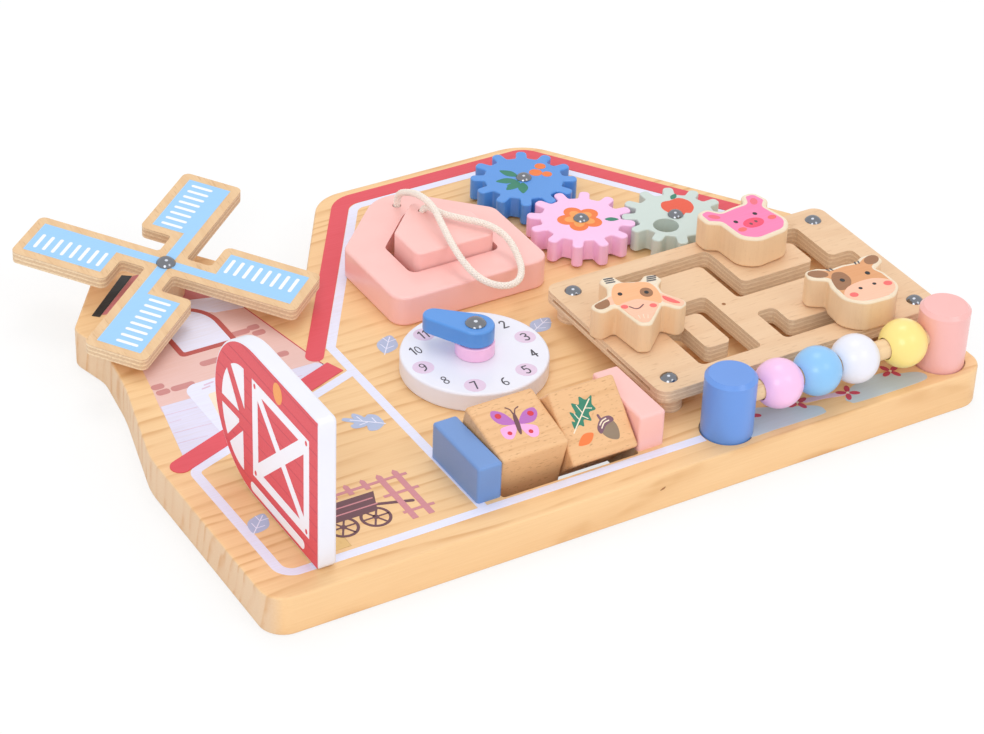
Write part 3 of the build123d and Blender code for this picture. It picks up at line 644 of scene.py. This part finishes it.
def prints(body, on, name, level, material, shapes):
    """Prints shapes in one ink. A shape is an outline, or a list of an outline and its holes.
    on carries the drawing to its surface, and a level of ink lies over the lower ones."""
    whole = bmesh.new()
    for k, shape in enumerate(shapes):
        lines = [shape] if isinstance(shape[0], Vector) else shape
        curve = bpy.data.curves.new(name, "CURVE")
        curve.dimensions = "2D"
        curve.fill_mode = "BOTH"
        curve.extrude = (ink_t * level + ink_sink + ink_step * (k % 9)) / 2
        for line in lines:
            spline = curve.splines.new("POLY")
            spline.points.add(len(line) - 1)
            for point, spot in zip(spline.points, line):
                point.co = (spot[0], spot[1], 0, 1)
            spline.use_cyclic_u = True
        drawn = bpy.data.objects.new(name, curve)
        mesh = bpy.data.meshes.new_from_object(drawn)
        mesh.transform(Matrix.Translation((0, 0, curve.extrude - ink_sink)))
        whole.from_mesh(mesh)
        bpy.data.objects.remove(drawn)
        bpy.data.meshes.remove(mesh)
    bmesh.ops.remove_doubles(whole, verts=whole.verts, dist=0.0005)
    bmesh.ops.transform(whole, matrix=on, verts=whole.verts)
    bmesh.ops.recalc_face_normals(whole, faces=whole.faces)
    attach(from_bmesh(name, whole, material), body)


def press(body, on, *inks):
    """Prints inks on one face of a body, each given as its name, level, ink and shapes."""
    for row in inks:
        prints(body, on, *row)


# Barn and windmill tower on the board

roof = Vector((77.5, 118.5)).normalized()
roof_right = Vector((86.9, -126.0)).normalized()


def up_roof(x, y, to_y):
    """x where a line parallel to the left side of the roof, through x, y, is at to_y."""
    return x + (to_y - y) * roof.x / roof.y


def down_roof(x, y, to_y):
    return x + (to_y - y) * roof_right.x / roof_right.y


band_top = 274.5
band_left = (102.5, 156.0)
band_right = (285.8, 278.6)
line_top = 267.6
line_left = (108.3, 152.3)
line_right = (280.1, 274.7)
join_y = line_left[1] + (112.75 - line_left[0]) * roof.y / roof.x
bricks = [(79.2, 190.2, 12.8), (88.2, 191.5, 6.2), (88.6, 186.2, 6.6), (57.6, 174.6, 11.0),
          (90.4, 164.8, 5.8), (26.9, 167.2, 6.4), (27.3, 162.2, 6.8), (37.4, 162.2, 12.0),
          (84.0, 218.0, 6.0), (40.0, 197.0, 9.5), (76.5, 159.6, 10.0), (67.0, 157.3, 6.0)]


def arched(left, right, foot, spring, rise, foot_r):
    """A window's outline with an arched head."""
    half, middle = (right - left) / 2, (left + right) / 2
    head = [(middle + half * cos(pi * k / 28), spring + rise * sin(pi * k / 28), 0)
            for k in range(29)]
    return rounded([(left, foot, foot_r), (right, foot, foot_r)] + head)


window_frame = arched(47.0, 76.9, 184.0, 203.5, 18.6, 2.6)
window_glass = arched(49.7, 74.2, 186.8, 203.5, 15.8, 1.0)
press("board", top,
      ("roof_band", 4, red_ink,
       [track([(*band_left, 0), (up_roof(*band_left, band_top), band_top, 13),
               (down_roof(*band_right, band_top), band_top, 9),
               (down_roof(*band_right, 160), 160, 0)], 8.8), oval(*band_left, 4.4),
        oval(down_roof(*band_right, 160), 160, 4.4)]),
      ("wall_line", 1, line_ink,
       [track([(112.75, 17.0, 0), (112.75, join_y, 0),
               (up_roof(*line_left, line_top), line_top, 8),
               (down_roof(*line_right, line_top), line_top, 6),
               (down_roof(*line_right, 150), 150, 0), (366, 120, 0)], 4.6),
        track([(228, 15.2, 0), (14.0, 15.2, 7.5), (12.8, 100.0, 5), (111.5, 136.2, 0)], 4.8)]),
      ("eave_band", 6, red_ink, [bar(9.4, 106, 107, 143.9, 9.8, False), oval(9.4, 106, 4.9)]),
      ("tower_bricks", 1, brick_ink,
       [corners((20, 148), (24, 168), (26, 180), (33, 214), (37.5, 236), (87.5, 236), (94.5, 198),
                (100.4, 163), (103.6, 146))]),
      ("tower_edge_line", 2, plank_ink, [bar(88, 233, 103, 148, 0.6, False)]),
      ("tower_siding", 2, siding_ink,
       [corners((13.4, 111.5), (21.3, 152), (100.3, 151.2), (105.5, 146.6), (104, 142.6))]),
      ("siding_joints", 3, joint_ink,
       [bar(20.2, 144.8, 36.0, 144.1, 0.35, False), bar(19.1, 138.6, 25.2, 138.6, 0.3, False),
        bar(17.3, 130.4, 36.0, 129.4, 0.35, False), bar(15.7, 122.4, 30.3, 121.6, 0.3, False),
        bar(64, 145.6, 90, 144.6, 0.35, False)]),
      ("tower_brick_faces", 2, brick_dark_ink,
       [rounded([(x - w / 2, y - 2.1, 1.9), (x + w / 2, y - 2.1, 1.9), (x + w / 2, y + 2.1, 1.4),
                 (x - w / 2, y + 2.1, 1.9)]) for x, y, w in bricks]),
      ("tower_window_frame", 5, frame_ink, [[window_frame, window_glass]]),
      ("tower_window_glass", 4, line_ink, [window_glass]),
      ("tower_porch", 3, line_ink,
       [rounded([(36.6, 113, 2), (62, 122.5, 2), (62, 162, 5), (36.4, 161.6, 7)])]),
      ("porch_doorway", 4, cream_ink,
       [rounded([(38.4, 114, 1), (60, 122.3, 1), (60, 152.5, 2), (44.6, 151, 1.5)])]),
      ("porch_steps", 4, joint_ink,
       [bar(44.4, 156.0, 48.2, 156.6, 1.0), bar(46.6, 158.4, 51.0, 159.0, 1.1)]),
      ("cap_face", 2, cap_ink,
       [corners((29.2, 234.6), (56.6, 259.2), (72, 259.2), (89.5, 235), (90.3, 221), (70, 226.6),
                (35, 233))]),
      ("cap_gable_band", 3, line_ink,
       [corners((36, 225), (38, 232.6), (69.5, 227.6), (90.6, 222), (92.2, 209), (78, 211.5),
                (66, 221))]),
      ("cap_beams", 3, black_ink,
       [corners((24.6, 236.0), (27.6, 233.3), (56.5, 259.4), (52.3, 262.4)),
        corners((105.2, 236.0), (102.2, 233.3), (73.3, 259.4), (77.5, 262.4))]))

# Windmill sails: a blue stripe along each arm, a blue panel and dashes across it

mill = Vector((64.9, 238.4, board_top))
mill_x = Vector((0, 1, 0)).cross(mill_axis).normalized()
mill_y = mill_axis.cross(mill_x)
sail_top = 17.9
blues, dashes = [], []
for k in range(4):
    turn = 38.2 + 90 * k
    blues += turned([corners((3.0, -2.65), (66.4, -2.65), (66.4, 19.8), (25.1, 19.8),
                             (25.1, 2.65), (3.0, 2.65))], 0, 0, turn)
    dashes += turned([bar(28.6 + 4.8 * d, 6.1, 28.6 + 4.8 * d, 15.7, 1.75) for d in range(8)],
                     0, 0, turn)
basis = Matrix((mill_x, mill_y, mill_axis)).transposed().to_4x4()
on_sails = (Matrix.Translation(place(*mill)) @ Matrix.Scale(MM, 4) @ basis
            @ Matrix.Translation((0, 0, sail_top)))
press("windmill", on_sails,
      ("sail_blue", 1, sail_ink, blues),
      ("sail_dashes", 2, pale_ink, dashes))

# Barn door: red face with white framing

door_x = 27.8           # the plane of its printed face
round_y = 69.5          # where its round end starts
round_z = 58.95         # the middle of the round end
round_r = 37.6
on_door = Matrix.Scale(MM, 4) @ Matrix(((0, 0, -1, door_x - middle_x), (1, 0, 0, -middle_y),
                                        (0, 1, 0, 0), (0, 0, 0, 1)))
door_face = corners((10.9, 21.3), (round_y, 21.3))
door_face += [Vector((round_y + round_r * sin(pi * k / 40), round_z - round_r * cos(pi * k / 40)))
              for k in range(41)]
door_face += corners((10.9, 96.6))
frame_in = corners((23.2, 37.2), (23.2, 77.9), (65.7, 77.9), (65.7, 37.2))


def pane(tips, low, high):
    """A pane of the half-round window, from its inner corners to an arc of its rim."""
    rim = [radians(low + (high - low) * k / 12) for k in range(13)]
    return corners(*tips) + [Vector((79 + 21.4 * cos(a), 56 + 27 * sin(a))) for a in rim]


press("door", on_door,
      ("door_red", 1, red_ink, [door_face]),
      ("door_planks", 2, plank_ink,
       [bar(11.2, z, round_y + (37.4 ** 2 - (z - round_z) ** 2) ** 0.5, z, 0.4, False)
        for z in (28 + 7.4 * k for k in range(10))]),
      ("door_frame", 3, pale_ink,
       [[corners((18.4, 32.2), (18.4, 82.9), (70.7, 82.9), (70.7, 32.2)), frame_in],
        bar(22, 79, 66.8, 36.1, 6.4, False), bar(22, 36.1, 66.8, 79, 4.8, False)]),
      ("door_nails", 4, red_ink,
       [oval(y, z, 0.95, 1.3) for y, z in ((20.9, 34.6), (20.9, 80.4),
                                           (68.2, 34.6), (68.2, 80.4))]),
      ("door_window", 3, pale_ink,
       [pane([(78.4, 62.4)], 56, 91), pane([(83.8, 58.1)], 3, 42),
        pane([(84.0, 51.8), (84.0, 53.7)], -6, -40), pane([(80.2, 49.7)], -48, -88)]),
      ("door_knob", 3, orange_ink, [oval(46.8, 89.6, 4.0, 5.2)]),
      ("door_sill", 3, pale_ink,
       [rounded([(22.8, 23.0, 2.2), (73.2, 23.0, 2.2), (73.2, 27.8, 2.2), (22.8, 27.8, 2.2)])]))

# Clock numbers, the odd ones on discs

ring_8 = [[oval(0, 1.55, 1.25, 1.45), oval(0, 1.55, 0.75, 0.95)],
          [oval(0, -1.45, 1.4, 1.6), oval(0, -1.45, 0.9, 1.1)]]
strokes = {
    "0": [], "1": [[(-0.9, 1.9), (0.1, 2.95)], [(0.1, 2.95), (0.1, -2.9)]],
    "2": [[(-1.2, 1.9), (-0.6, 2.8), (0.6, 2.8), (1.1, 1.7), (0.5, 0.2), (-1.2, -2.8)],
          [(-1.2, -2.8), (1.3, -2.8)]],
    "3": [[(-1.2, 2.4), (0, 2.95), (1.1, 2.1), (0.9, 0.9), (-0.2, 0.3)],
          [(-0.2, 0.3), (1.0, -0.2), (1.2, -1.8), (0.2, -2.9), (-1.2, -2.4)]],
    "4": [[(0.5, -2.9), (0.5, 2.9)], [(0.5, 2.9), (-1.3, -1.0)], [(-1.3, -1.0), (1.3, -1.0)]],
    "5": [[(1.2, 2.9), (-0.9, 2.9)], [(-0.9, 2.9), (-1.0, 0.5)],
          [(-1.0, 0.5), (0.4, 0.7), (1.2, -0.6), (0.9, -2.3), (-0.2, -2.9), (-1.2, -2.4)]],
    "6": [[(0.9, 2.8), (-0.5, 1.9), (-1.15, 0), (-1.15, -1.4)]],
    "7": [[(-1.2, 2.9), (1.2, 2.9)], [(1.2, 2.9), (-0.3, -2.9)]], "8": [],
    "9": [[(-0.8, -2.9), (0.6, -1.8), (1.15, 0), (1.15, 1.4)]]}
rings = {"0": [[oval(0, 0, 1.4, 2.95), oval(0, 0, 0.9, 2.4)]], "8": ring_8,
         "6": [ring_8[1]], "9": [[oval(0, 1.45, 1.4, 1.6), oval(0, 1.45, 0.9, 1.1)]]}
dial_x, dial_y, dial_face = 163.3, 111.5, 30.0
hour_r = 27.5
figure_step = 2.6
stroke_w = 0.72
hours, discs = [], []
for hour in range(1, 13):
    x = dial_x + hour_r * sin(radians(30 * hour))
    y = dial_y + hour_r * cos(radians(30 * hour))
    figures = str(hour)
    for k, figure in enumerate(figures):
        at = x + (k - (len(figures) - 1) / 2) * figure_step
        hours += turned([brush(points, stroke_w) for points in strokes[figure]], at, y, 0)
        hours += [turned(ring, at, y, 0) for ring in rings.get(figure, [])]
    if hour % 2:
        discs.append(oval(x, y, 5.1))
press("board", on_surface(0, 0, dial_face),
      ("hour_discs", 1, dial_ink, discs),
      ("hour_numbers", 2, number_ink, hours))


# Leaves, a cart by a fence, and puddles with flowers, on the board

def leaf(length, width):
    """A pointed leaf along X with its stalk at the left, and its veins."""
    half, wide = length / 2, width / 2
    edge = [(-half * 0.55, wide * 0.75), (0, wide), (half * 0.6, wide * 0.6)]
    blade = smooth([(-half, 0)] + edge + [(half, 0)] + [(x, -y) for x, y in edge[::-1]])
    veins = [brush([(-half * 1.15, 0), (half * 0.8, 0)], 0.5)]
    for k in range(2):
        x = half * (-0.5 + 0.75 * k)
        for way in (1, -1):
            veins.append(brush([(x, 0), (x + half * 0.38, way * wide * 0.62)], 0.4))
    return blade, veins


blades, veins = [], []
for x, y, turn, length, width in ((137.8, 149, 52, 15.5, 10), (211, 129.6, 28, 15, 10),
                                  (21, 52.6, 47, 14.5, 9.5)):
    blade, lines = leaf(length, width)
    blades += turned([blade], x, y, turn)
    veins += turned(lines, x, y, turn)
lobed = smooth([(9.2, 0.0), (7.6, 3.0), (4.4, 6.0), (0.8, 5.8), (-0.4, 3.4), (-2.6, 4.6),
                (-6.2, 5.4), (-6.4, 2.8), (-5.2, 1.6), (-9.8, 1.2), (-9.8, -1.0), (-4.6, -1.8),
                (-5.6, -4.4), (-3.4, -6.0), (0.4, -4.2), (1.6, -3.0), (3.2, -6.4), (6.6, -5.6),
                (8.4, -2.8)])
blades += turned([lobed], 97.8, 98.4, -37)
veins += turned([brush([(9.6, 0), (4, 0.1), (-6.5, 0)], 0.6), brush([(5.6, 0.1), (3.0, 3.4)], 0.5),
                 brush([(-0.6, 0), (-4.0, 3.2)], 0.5), brush([(1.8, 0), (-1.6, -3.0)], 0.5)],
                97.8, 98.4, -37)
wheels, wheel_y = (52, 68), 33
cart = [corners((47, 37), (71, 37), (76, 50), (44, 50)), bar(71, 41.5, 88, 36, 1.8)]
cart += [[oval(x, wheel_y, 7.2), oval(x, wheel_y, 5.8)] for x in wheels]
cart += [oval(x, wheel_y, 1.5) for x in wheels]
spokes = [bar(x, wheel_y, x + 6.4 * cos(pi * k / 3), wheel_y + 6.4 * sin(pi * k / 3), 0.9, False)
          for x in wheels for k in range(6)]
fence = [bar(46.5, 55, 95.5, 55, 1.7, False), bar(78, 44, 95.5, 44, 1.7, False),
         bar(80, 30, 95.5, 30, 1.7, False)]
for x in (83, 91):
    fence.append(corners((x - 1.5, 24), (x + 1.5, 24), (x + 1.5, 58), (x, 60), (x - 1.5, 58)))
for x in (50, 58.3, 66.6, 74.9):
    fence.append(corners((x - 1.3, 52), (x + 1.3, 52), (x + 1.3, 58.5), (x, 60), (x - 1.3, 58.5)))
press("board", top,
      ("leaves", 2, leaf_ink, blades),
      ("leaf_veins", 3, line_ink, veins),
      ("cart", 2, cart_ink, cart + spokes),
      ("cart_boards", 3, fence_ink, [bar(48, y, 73, y, 0.8) for y in (41.3, 45.8)]),
      ("fence", 2, fence_ink, fence),
      ("pools", 2, puddle_ink,
       [smooth([(243, 6.2), (243, 16), (256, 24.6), (266, 22.4), (276, 17.4), (284, 14.6),
                (289.4, 11.2), (290.2, 7.4), (287, 5.2), (264, 5.2)]),
        smooth([(304.2, 10.4), (304.6, 7.2), (307.4, 5.4), (325, 4.9), (345, 5.2), (349.6, 7.4),
                (348.8, 11.2), (345, 13.6), (339, 15.4), (332, 19.4), (322, 19), (312, 16.6)])]),
      ("stream", 3, joint_ink,
       [smooth([(285.6, 16.4), (295, 15), (305.6, 12.8), (306.2, 15.8), (296, 17.4),
                (287, 19.2)])]))


def blossom(x, y, r, turn=0.0, petals=5, slim=0.42):
    """Round-tipped petals set about a centre."""
    turns = [turn + 360 * k / petals for k in range(petals)]
    return [oval(x + r * 0.58 * cos(radians(a)), y + r * 0.58 * sin(radians(a)), r * 0.46,
                 r * slim, a) for a in turns]


flowers = ((256.4, 20.2, 60), (282.3, 18.2, 12), (307.9, 13.6, -28), (336.6, 18.8, 20))
press("board", top,
      ("pool_flowers", 4, petal_ink,
       [petal for x, y, turn in flowers for petal in blossom(x, y, 5.6, turn, 4, 0.24)]),
      ("pool_flower_hearts", 5, cream_ink, [oval(x, y, 0.75) for x, y, turn in flowers]))
maze_face = 35.0
press("board", on_surface(0, 0, maze_face),
      ("maze_plate_nail", 1, knot_ink, [oval(285.5, 85.3, 1.0)]))
press("board", on_surface(0, 0, 0, 90, "X"),
      ("front_knot", 1, knot_ink,
       [smooth([(195, 11.6), (196.2, 12.6), (197.8, 12.9), (197, 11.8)])]))

# Motifs on the gears

gear_face = 32.8
sprig = []
for x, y, turn in ((-9.5, 1.5, 160), (-9, -4.6, 200), (-5.5, -8.5, 240), (-4.6, 7.4, 120)):
    sprig += turned([leaf(10.5, 5.2)[0]], x, y, turn)
press("gear_blue", on_surface(263.9, 234.2, gear_face),
      ("blue_gear_leaves", 1, forest_ink, sprig + [brush([(-1, -1), (-6, -1.6), (-11, -3)], 1.2)]),
      ("blue_gear_berries", 1, carrot_ink,
       [oval(8.2, 1.8, 3.4), oval(13.6, 6.2, 2.9), oval(12.6, -2.2, 2.6)]))
press("gear_pink", on_surface(268.6, 186.4, gear_face),
      ("pink_gear_flower", 1, carrot_ink, blossom(-0.5, 0.3, 11.2, 18)),
      ("pink_gear_flower_heart", 2, orange_ink, blossom(-0.5, 0.3, 7.6, 18, slim=0.36)),
      ("pink_gear_leaf", 2, forest_ink, turned([leaf(7.0, 3.4)[0]], 13.4, -7.4, -28)))
press("gear_green", on_surface(312.85, 167.8, gear_face),
      ("green_gear_apple", 1, apple_ink,
       [smooth([(5.4, 13.0), (0.4, 13.2), (-2.6, 8.2), (-1.2, 2.2), (3.2, -1.8), (5.6, -0.8),
                (8.2, -1.8), (12.4, 2.0), (13.6, 8.0), (10.6, 13.0)])]),
      ("green_gear_leaf", 2, forest_ink, turned([leaf(6.0, 3.0)[0]], 9.0, 15.4, 35)))

# Motifs on the cubes: a butterfly, and an oak leaf with an acorn

cube_half = 17.3
axle_y, axle_z = 42.8, 25.0


def on_cube(x, turn):
    return on_surface(x, axle_y, axle_z, turn, "X") @ Matrix.Translation((0, 0, cube_half))


wing = [smooth([(0.9, 0.6), (4.5, 6.6), (9.6, 8.6), (10.8, 5.0), (8.2, 0.8), (3.6, -0.4)]),
        smooth([(0.9, -0.6), (4.6, -0.8), (8.6, -2.6), (7.8, -7.6), (4.4, -8.4), (1.6, -4.4)])]
wings = wing + [[Vector((-p.x, p.y)) for p in line] for line in wing]
press("cube_left", on_cube(142.07, 14.5),
      ("butterfly_wings", 1, violet_ink, turned([wings[0], wings[2]], 0, 0, -14)),
      ("butterfly_low_wings", 1, candy_ink, turned([wings[1], wings[3]], 0, 0, -14)),
      ("butterfly_spots", 2, scarlet_ink,
       turned([oval(7.6, 5.2, 1.5), oval(-7.6, 5.2, 1.5), oval(4.9, -5.2, 1.1),
               oval(-4.9, -5.2, 1.1)], 0, 0, -14)),
      ("butterfly_body", 3, cart_ink,
       turned([oval(0, 0, 1.1, 6.4), brush([(0.3, 5.6), (1.2, 8.4), (3.0, 9.8)], 0.5),
               brush([(-0.3, 5.6), (-1.2, 8.4), (-3.0, 9.8)], 0.5)], 0, 0, -14)))
oak = smooth([(-9.8, -1.4), (-7.6, 2.0), (-6.6, 0.6), (-4.6, 5.0), (-3.2, 2.4), (-0.6, 6.4),
              (1.2, 3.2), (4.4, 5.0), (5.2, 1.6), (8.6, 0.4), (5.4, -1.8), (4.4, -4.6),
              (1.0, -2.8), (-1.4, -5.6), (-3.2, -2.4), (-5.8, -4.0), (-6.8, -1.8)])
acorn = turned([smooth([(-3.9, 0), (-3.4, -4.4), (0, -7.8), (3.4, -4.4), (3.9, 0), (0, 0.8)]),
                smooth([(-4.6, -0.4), (-4.3, 2.6), (0, 4.4), (4.3, 2.6), (4.6, -0.4), (0, 0.5)]),
                brush([(0, 4), (0.5, 6.4)], 1.1), brush([(-2.6, 1.2), (0, 2), (2.6, 1.2)], 0.6),
                brush([(-2.2, 2.8), (0, 3.3), (2.2, 2.8)], 0.6)], 5.2, -4.6, 28)
press("cube_right", on_cube(177.43, 45),
      ("oak_leaf", 1, forest_ink, turned([oak], -3.6, 5.2, 38)),
      ("oak_leaf_veins", 2, cream_ink,
       turned([brush([(-11.5, -1.6), (-2, -0.4), (6.4, 0.4)], 0.6),
               brush([(-4.6, -0.6), (-3.8, 2.8)], 0.4), brush([(-1, -0.2), (0.2, 4)], 0.4),
               brush([(-2.4, -0.5), (-1.6, -3.8)], 0.4), brush([(1.6, 0), (3.6, -2.8)], 0.4)],
              -3.6, 5.2, 38)),
      ("acorn_nut", 1, acorn_ink, [acorn[0]]),
      ("acorn_cap", 2, acorn_cap_ink, acorn[1:3]),
      ("acorn_cap_lines", 3, cream_ink, acorn[3:]),
      ("orange_leaf", 1, carrot_ink, turned([leaf(9.5, 4.8)[0]], -7.0, -7.4, 200)))

# Faces of the pig, the goat and the cow

head_top = 51.4


def head_outline(right, inset):
    """A head's outline from its right half, drawn inwards by a distance."""
    left = [(-x, y, r) for x, y, r in right[::-1] if x > 0]
    return offset(rounded(right + left), inset)


pig_half = [(9, -14.4, 9), (16, -7.5, 9), (15, 8, 2), (20.2, 12.2, 3.5), (19, 22.2, 4.5),
            (11.2, 22.8, 4), (7.6, 16.6, 2), (0, 17, 3)]
cow_half = [(8, -16, 9), (16, -8, 9), (15.4, 4, 5), (13.4, 9, 1.5), (21.4, 13.8, 3),
            (19.6, 20.6, 3), (12.6, 20.6, 4), (7.4, 17.4, 2), (0, 18.2, 3)]
goat_half = [(2.8, -23.6, 3), (11, -7, 1.5), (18.4, -12, 3.2), (24, -6, 3.2), (13.2, 3, 4),
             (12.4, 9.6, 4), (15.2, 14.5, 2.5), (12.4, 19.4, 3), (7, 18.2, 2.5), (4, 13.6, 2.5)]
press("pig", on_surface(325.2, 119.2, head_top, 7),
      ("pig_head_white", 1, rim_ink, [head_outline(pig_half, 1.25)]),
      ("pig_face", 2, pig_ink, [head_outline(pig_half, 2.3)]),
      ("pig_inner_ears", 3, pig_ear_ink,
       [oval(-13.3, 14.5, 3.1, 1.7, 128), oval(12.8, 14.7, 3.1, 1.9, 52)]),
      ("pig_cheeks", 3, cheek_ink, [oval(-9.6, -2.2, 2.4, 1.8), oval(10.2, -1.6, 2.4, 1.8)]),
      ("pig_snout", 3, snout_ink, [oval(-0.8, -0.4, 5.8, 4.1)]),
      ("pig_eyes", 3, black_ink, [oval(-7.6, 5.0, 1.1, 1.3), oval(5.4, 5.6, 1.1, 1.3)]),
      ("pig_nostrils", 4, cart_ink, [oval(-2.6, -0.6, 0.7, 1.0), oval(0.9, -0.2, 0.7, 1.0)]))

horns = []
for way in (1, -1):
    horns += [brush([(way * 9.8 + dx - 2.0, 12.8 + dy), (way * 9.8 + dx + 2.0, 13.6 + dy)], 0.9)
              for dx, dy in ((0, 0.2), (way * 0.3, 1.9), (way * 0.6, 3.5))]
press("goat", on_surface(237, 89, head_top, -22),
      ("goat_head_white", 1, rim_ink, [head_outline(goat_half, 1.25)]),
      ("goat_ears", 2, muzzle_ink,
       [smooth([(11.2, 2.0), (15.2, -0.6), (20.6, -4.8), (21.4, -7.4), (18.6, -9.8), (14.0, -7.2),
                (11.2, -4.4)]),
        smooth([(-10.6, 1.6), (-13.6, 0.2), (-15.2, -3.0), (-13.6, -5.6), (-10.8, -4.4)])]),
      ("goat_face", 3, goat_ink,
       [smooth([(-8.6, 10.6), (-4.6, 12.4), (0.2, 12.0), (5, 12.4), (8.8, 10.6), (11.2, 4.4),
                (11.4, -2.4), (9.6, -6.4), (0, -4.0), (-9.6, -6.4), (-11.4, -2.4),
                (-11.0, 4.4)])]),
      ("goat_muzzle", 4, muzzle_ink,
       [smooth([(0, -2.2), (4.6, -3.8), (9.2, -6.6), (7.2, -12.0), (4.4, -17.4), (1.8, -21.4),
                (-1.8, -21.4), (-4.4, -17.4), (-7.2, -12.0), (-9.2, -6.6), (-4.6, -3.8)])]),
      ("goat_brown", 5, brown_ink,
       [smooth([(-14.0, -1.2), (-17.6, -3.0), (-20.9, -5.8), (-20.0, -8.4), (-17.4, -8.8),
                (-13.8, -6.0)]), oval(5.4, 3.2, 3.1, 3.9)]),
      ("goat_cheeks", 6, cheek_ink,
       [oval(-7.2, -8.3, 1.7, 1.6), oval(6.4, -8.3, 1.7, 1.6),
        smooth([(12.4, -0.6), (16.2, -3.4), (19.4, -7.2), (16.0, -6.6), (12.8, -3.6)])]),
      ("goat_eyes", 6, black_ink, [oval(-7.3, 2.8, 1.1, 1.3), oval(5.4, 3.1, 1.1, 1.3)]),
      ("goat_smile", 6, cart_ink,
       [brush([(-4.9, -8.4), (-2.6, -10.2), (-0.6, -10.0), (1.9, -7.2)], 0.6)]),
      ("goat_beard", 6, rim_ink,
       [brush([(x, -15.4 - dy), (x * 0.8, -18.6)], 0.4)
        for x, dy in ((-2.2, 0.6), (0.2, 0), (2.4, 0.6))]),
      ("goat_horn_rings", 3, horn_ink, horns))

press("cow", on_surface(338.8, 49.3, head_top, -3),
      ("cow_head_white", 1, rim_ink, [head_outline(cow_half, 1.25)]),
      ("cow_face", 2, cow_ink, [head_outline(cow_half, 2.1)]),
      ("cow_brown", 3, brown_ink,
       [smooth([(-12.8, 5.4), (-11.2, 9.6), (-7.8, 13.2), (-3.6, 12.0), (-2.8, 6.4), (-5.6, 1.2),
                (-10.2, -1.4), (-13.6, -0.2)]),
        oval(-15.0, 15.4, 5.0, 3.2, 152), oval(15.6, 15.7, 4.6, 3.2, 28)]),
      ("cow_muzzle", 4, muzzle_ink,
       [smooth([(-13.6, -5.6), (-9.0, -0.6), (-1.0, 1.6), (7.4, 1.2), (13.2, -2.6), (13.8, -6.2),
                (11.4, -10.8), (5.4, -13.8), (-5.4, -13.8), (-11.4, -10.8)])]),
      ("cow_cheeks", 5, cheek_ink, [oval(-9.4, -7.2, 2.2, 1.9), oval(11.0, -5.2, 2.2, 1.9)]),
      ("cow_eyes", 5, black_ink,
       [oval(-7.4, 6.0, 1.2, 1.4), oval(7.2, 6.4, 1.2, 1.4), oval(-3.4, -3.6, 1.0),
        oval(4.8, -3.0, 1.0)]),
      ("cow_horns", 3, horn_ink,
       [brush([(x, 15.4), (x + dx, 17.2)], 0.7)
        for x, dx in ((-8.4, -0.6), (-6.6, -0.4), (6.6, 0.4), (8.4, 0.6))]))


# Floor and light

paper, tree, shader, spots = start("matt_white_paper", {"Base Color": linear("FBFBFB"),
                                                        "Roughness": 0.95,
                                                        "Specular IOR Level": 0.1})
rays = add(tree, "LightPath", {})
lit = add(tree, "Math", {0: rays["Is Camera Ray"], 1: 0.75}, operation="MULTIPLY")[0]
glow = add(tree, "Emission", {"Color": linear("FFFFFF"), "Strength": 1.0})[0]
floor_mix = add(tree, "MixShader", {0: lit, 1: shader.outputs[0], 2: glow})[0]
tree.links.new(floor_mix, tree.nodes["Material Output"].inputs["Surface"])
floor_mesh = bmesh.new()
bmesh.ops.create_grid(floor_mesh, x_segments=1, y_segments=1, size=6.0)
floor = from_bmesh("floor", floor_mesh, paper)
floor.location.z = -0.0002

world = bpy.data.worlds.new("studio")
scene.world = world
world.use_nodes = True
tree = world.node_tree
sky = tree.nodes["Background"]
sky.inputs["Color"].default_value = linear("FFFFFF")
sky_light = 0.8
rays = add(tree, "LightPath", {})
seen = add(tree, "Math", {0: rays["Is Camera Ray"], 1: rays["Is Glossy Ray"]},
           operation="MAXIMUM")[0]
seen = add(tree, "Math", {0: seen, 1: rays["Is Transmission Ray"]}, operation="MAXIMUM")[0]
strength = add(tree, "MapRange", {0: seen, 3: sky_light, 4: 1.0})[0]
tree.links.new(strength, sky.inputs["Strength"])


def lamp(name, spot, aim, size, power):
    light = bpy.data.lights.new(name, "AREA")
    light.shape = "DISK"
    light.size = size
    light.energy = power
    made = stand(name, light)
    made.location = spot
    made.rotation_euler = (Vector(aim) - Vector(spot)).to_track_quat("-Z", "Y").to_euler()


lamp("key", (0.35, 0.6, 2.4), (0, 0, 0), 1.2, 10)
lamp("front", (0.8, -1.7, 1.7), (0, 0, 0), 1.0, 5.5)
lamp("side", (-1.5, -1.6, 1.6), (0, 0, 0), 1.2, 14)
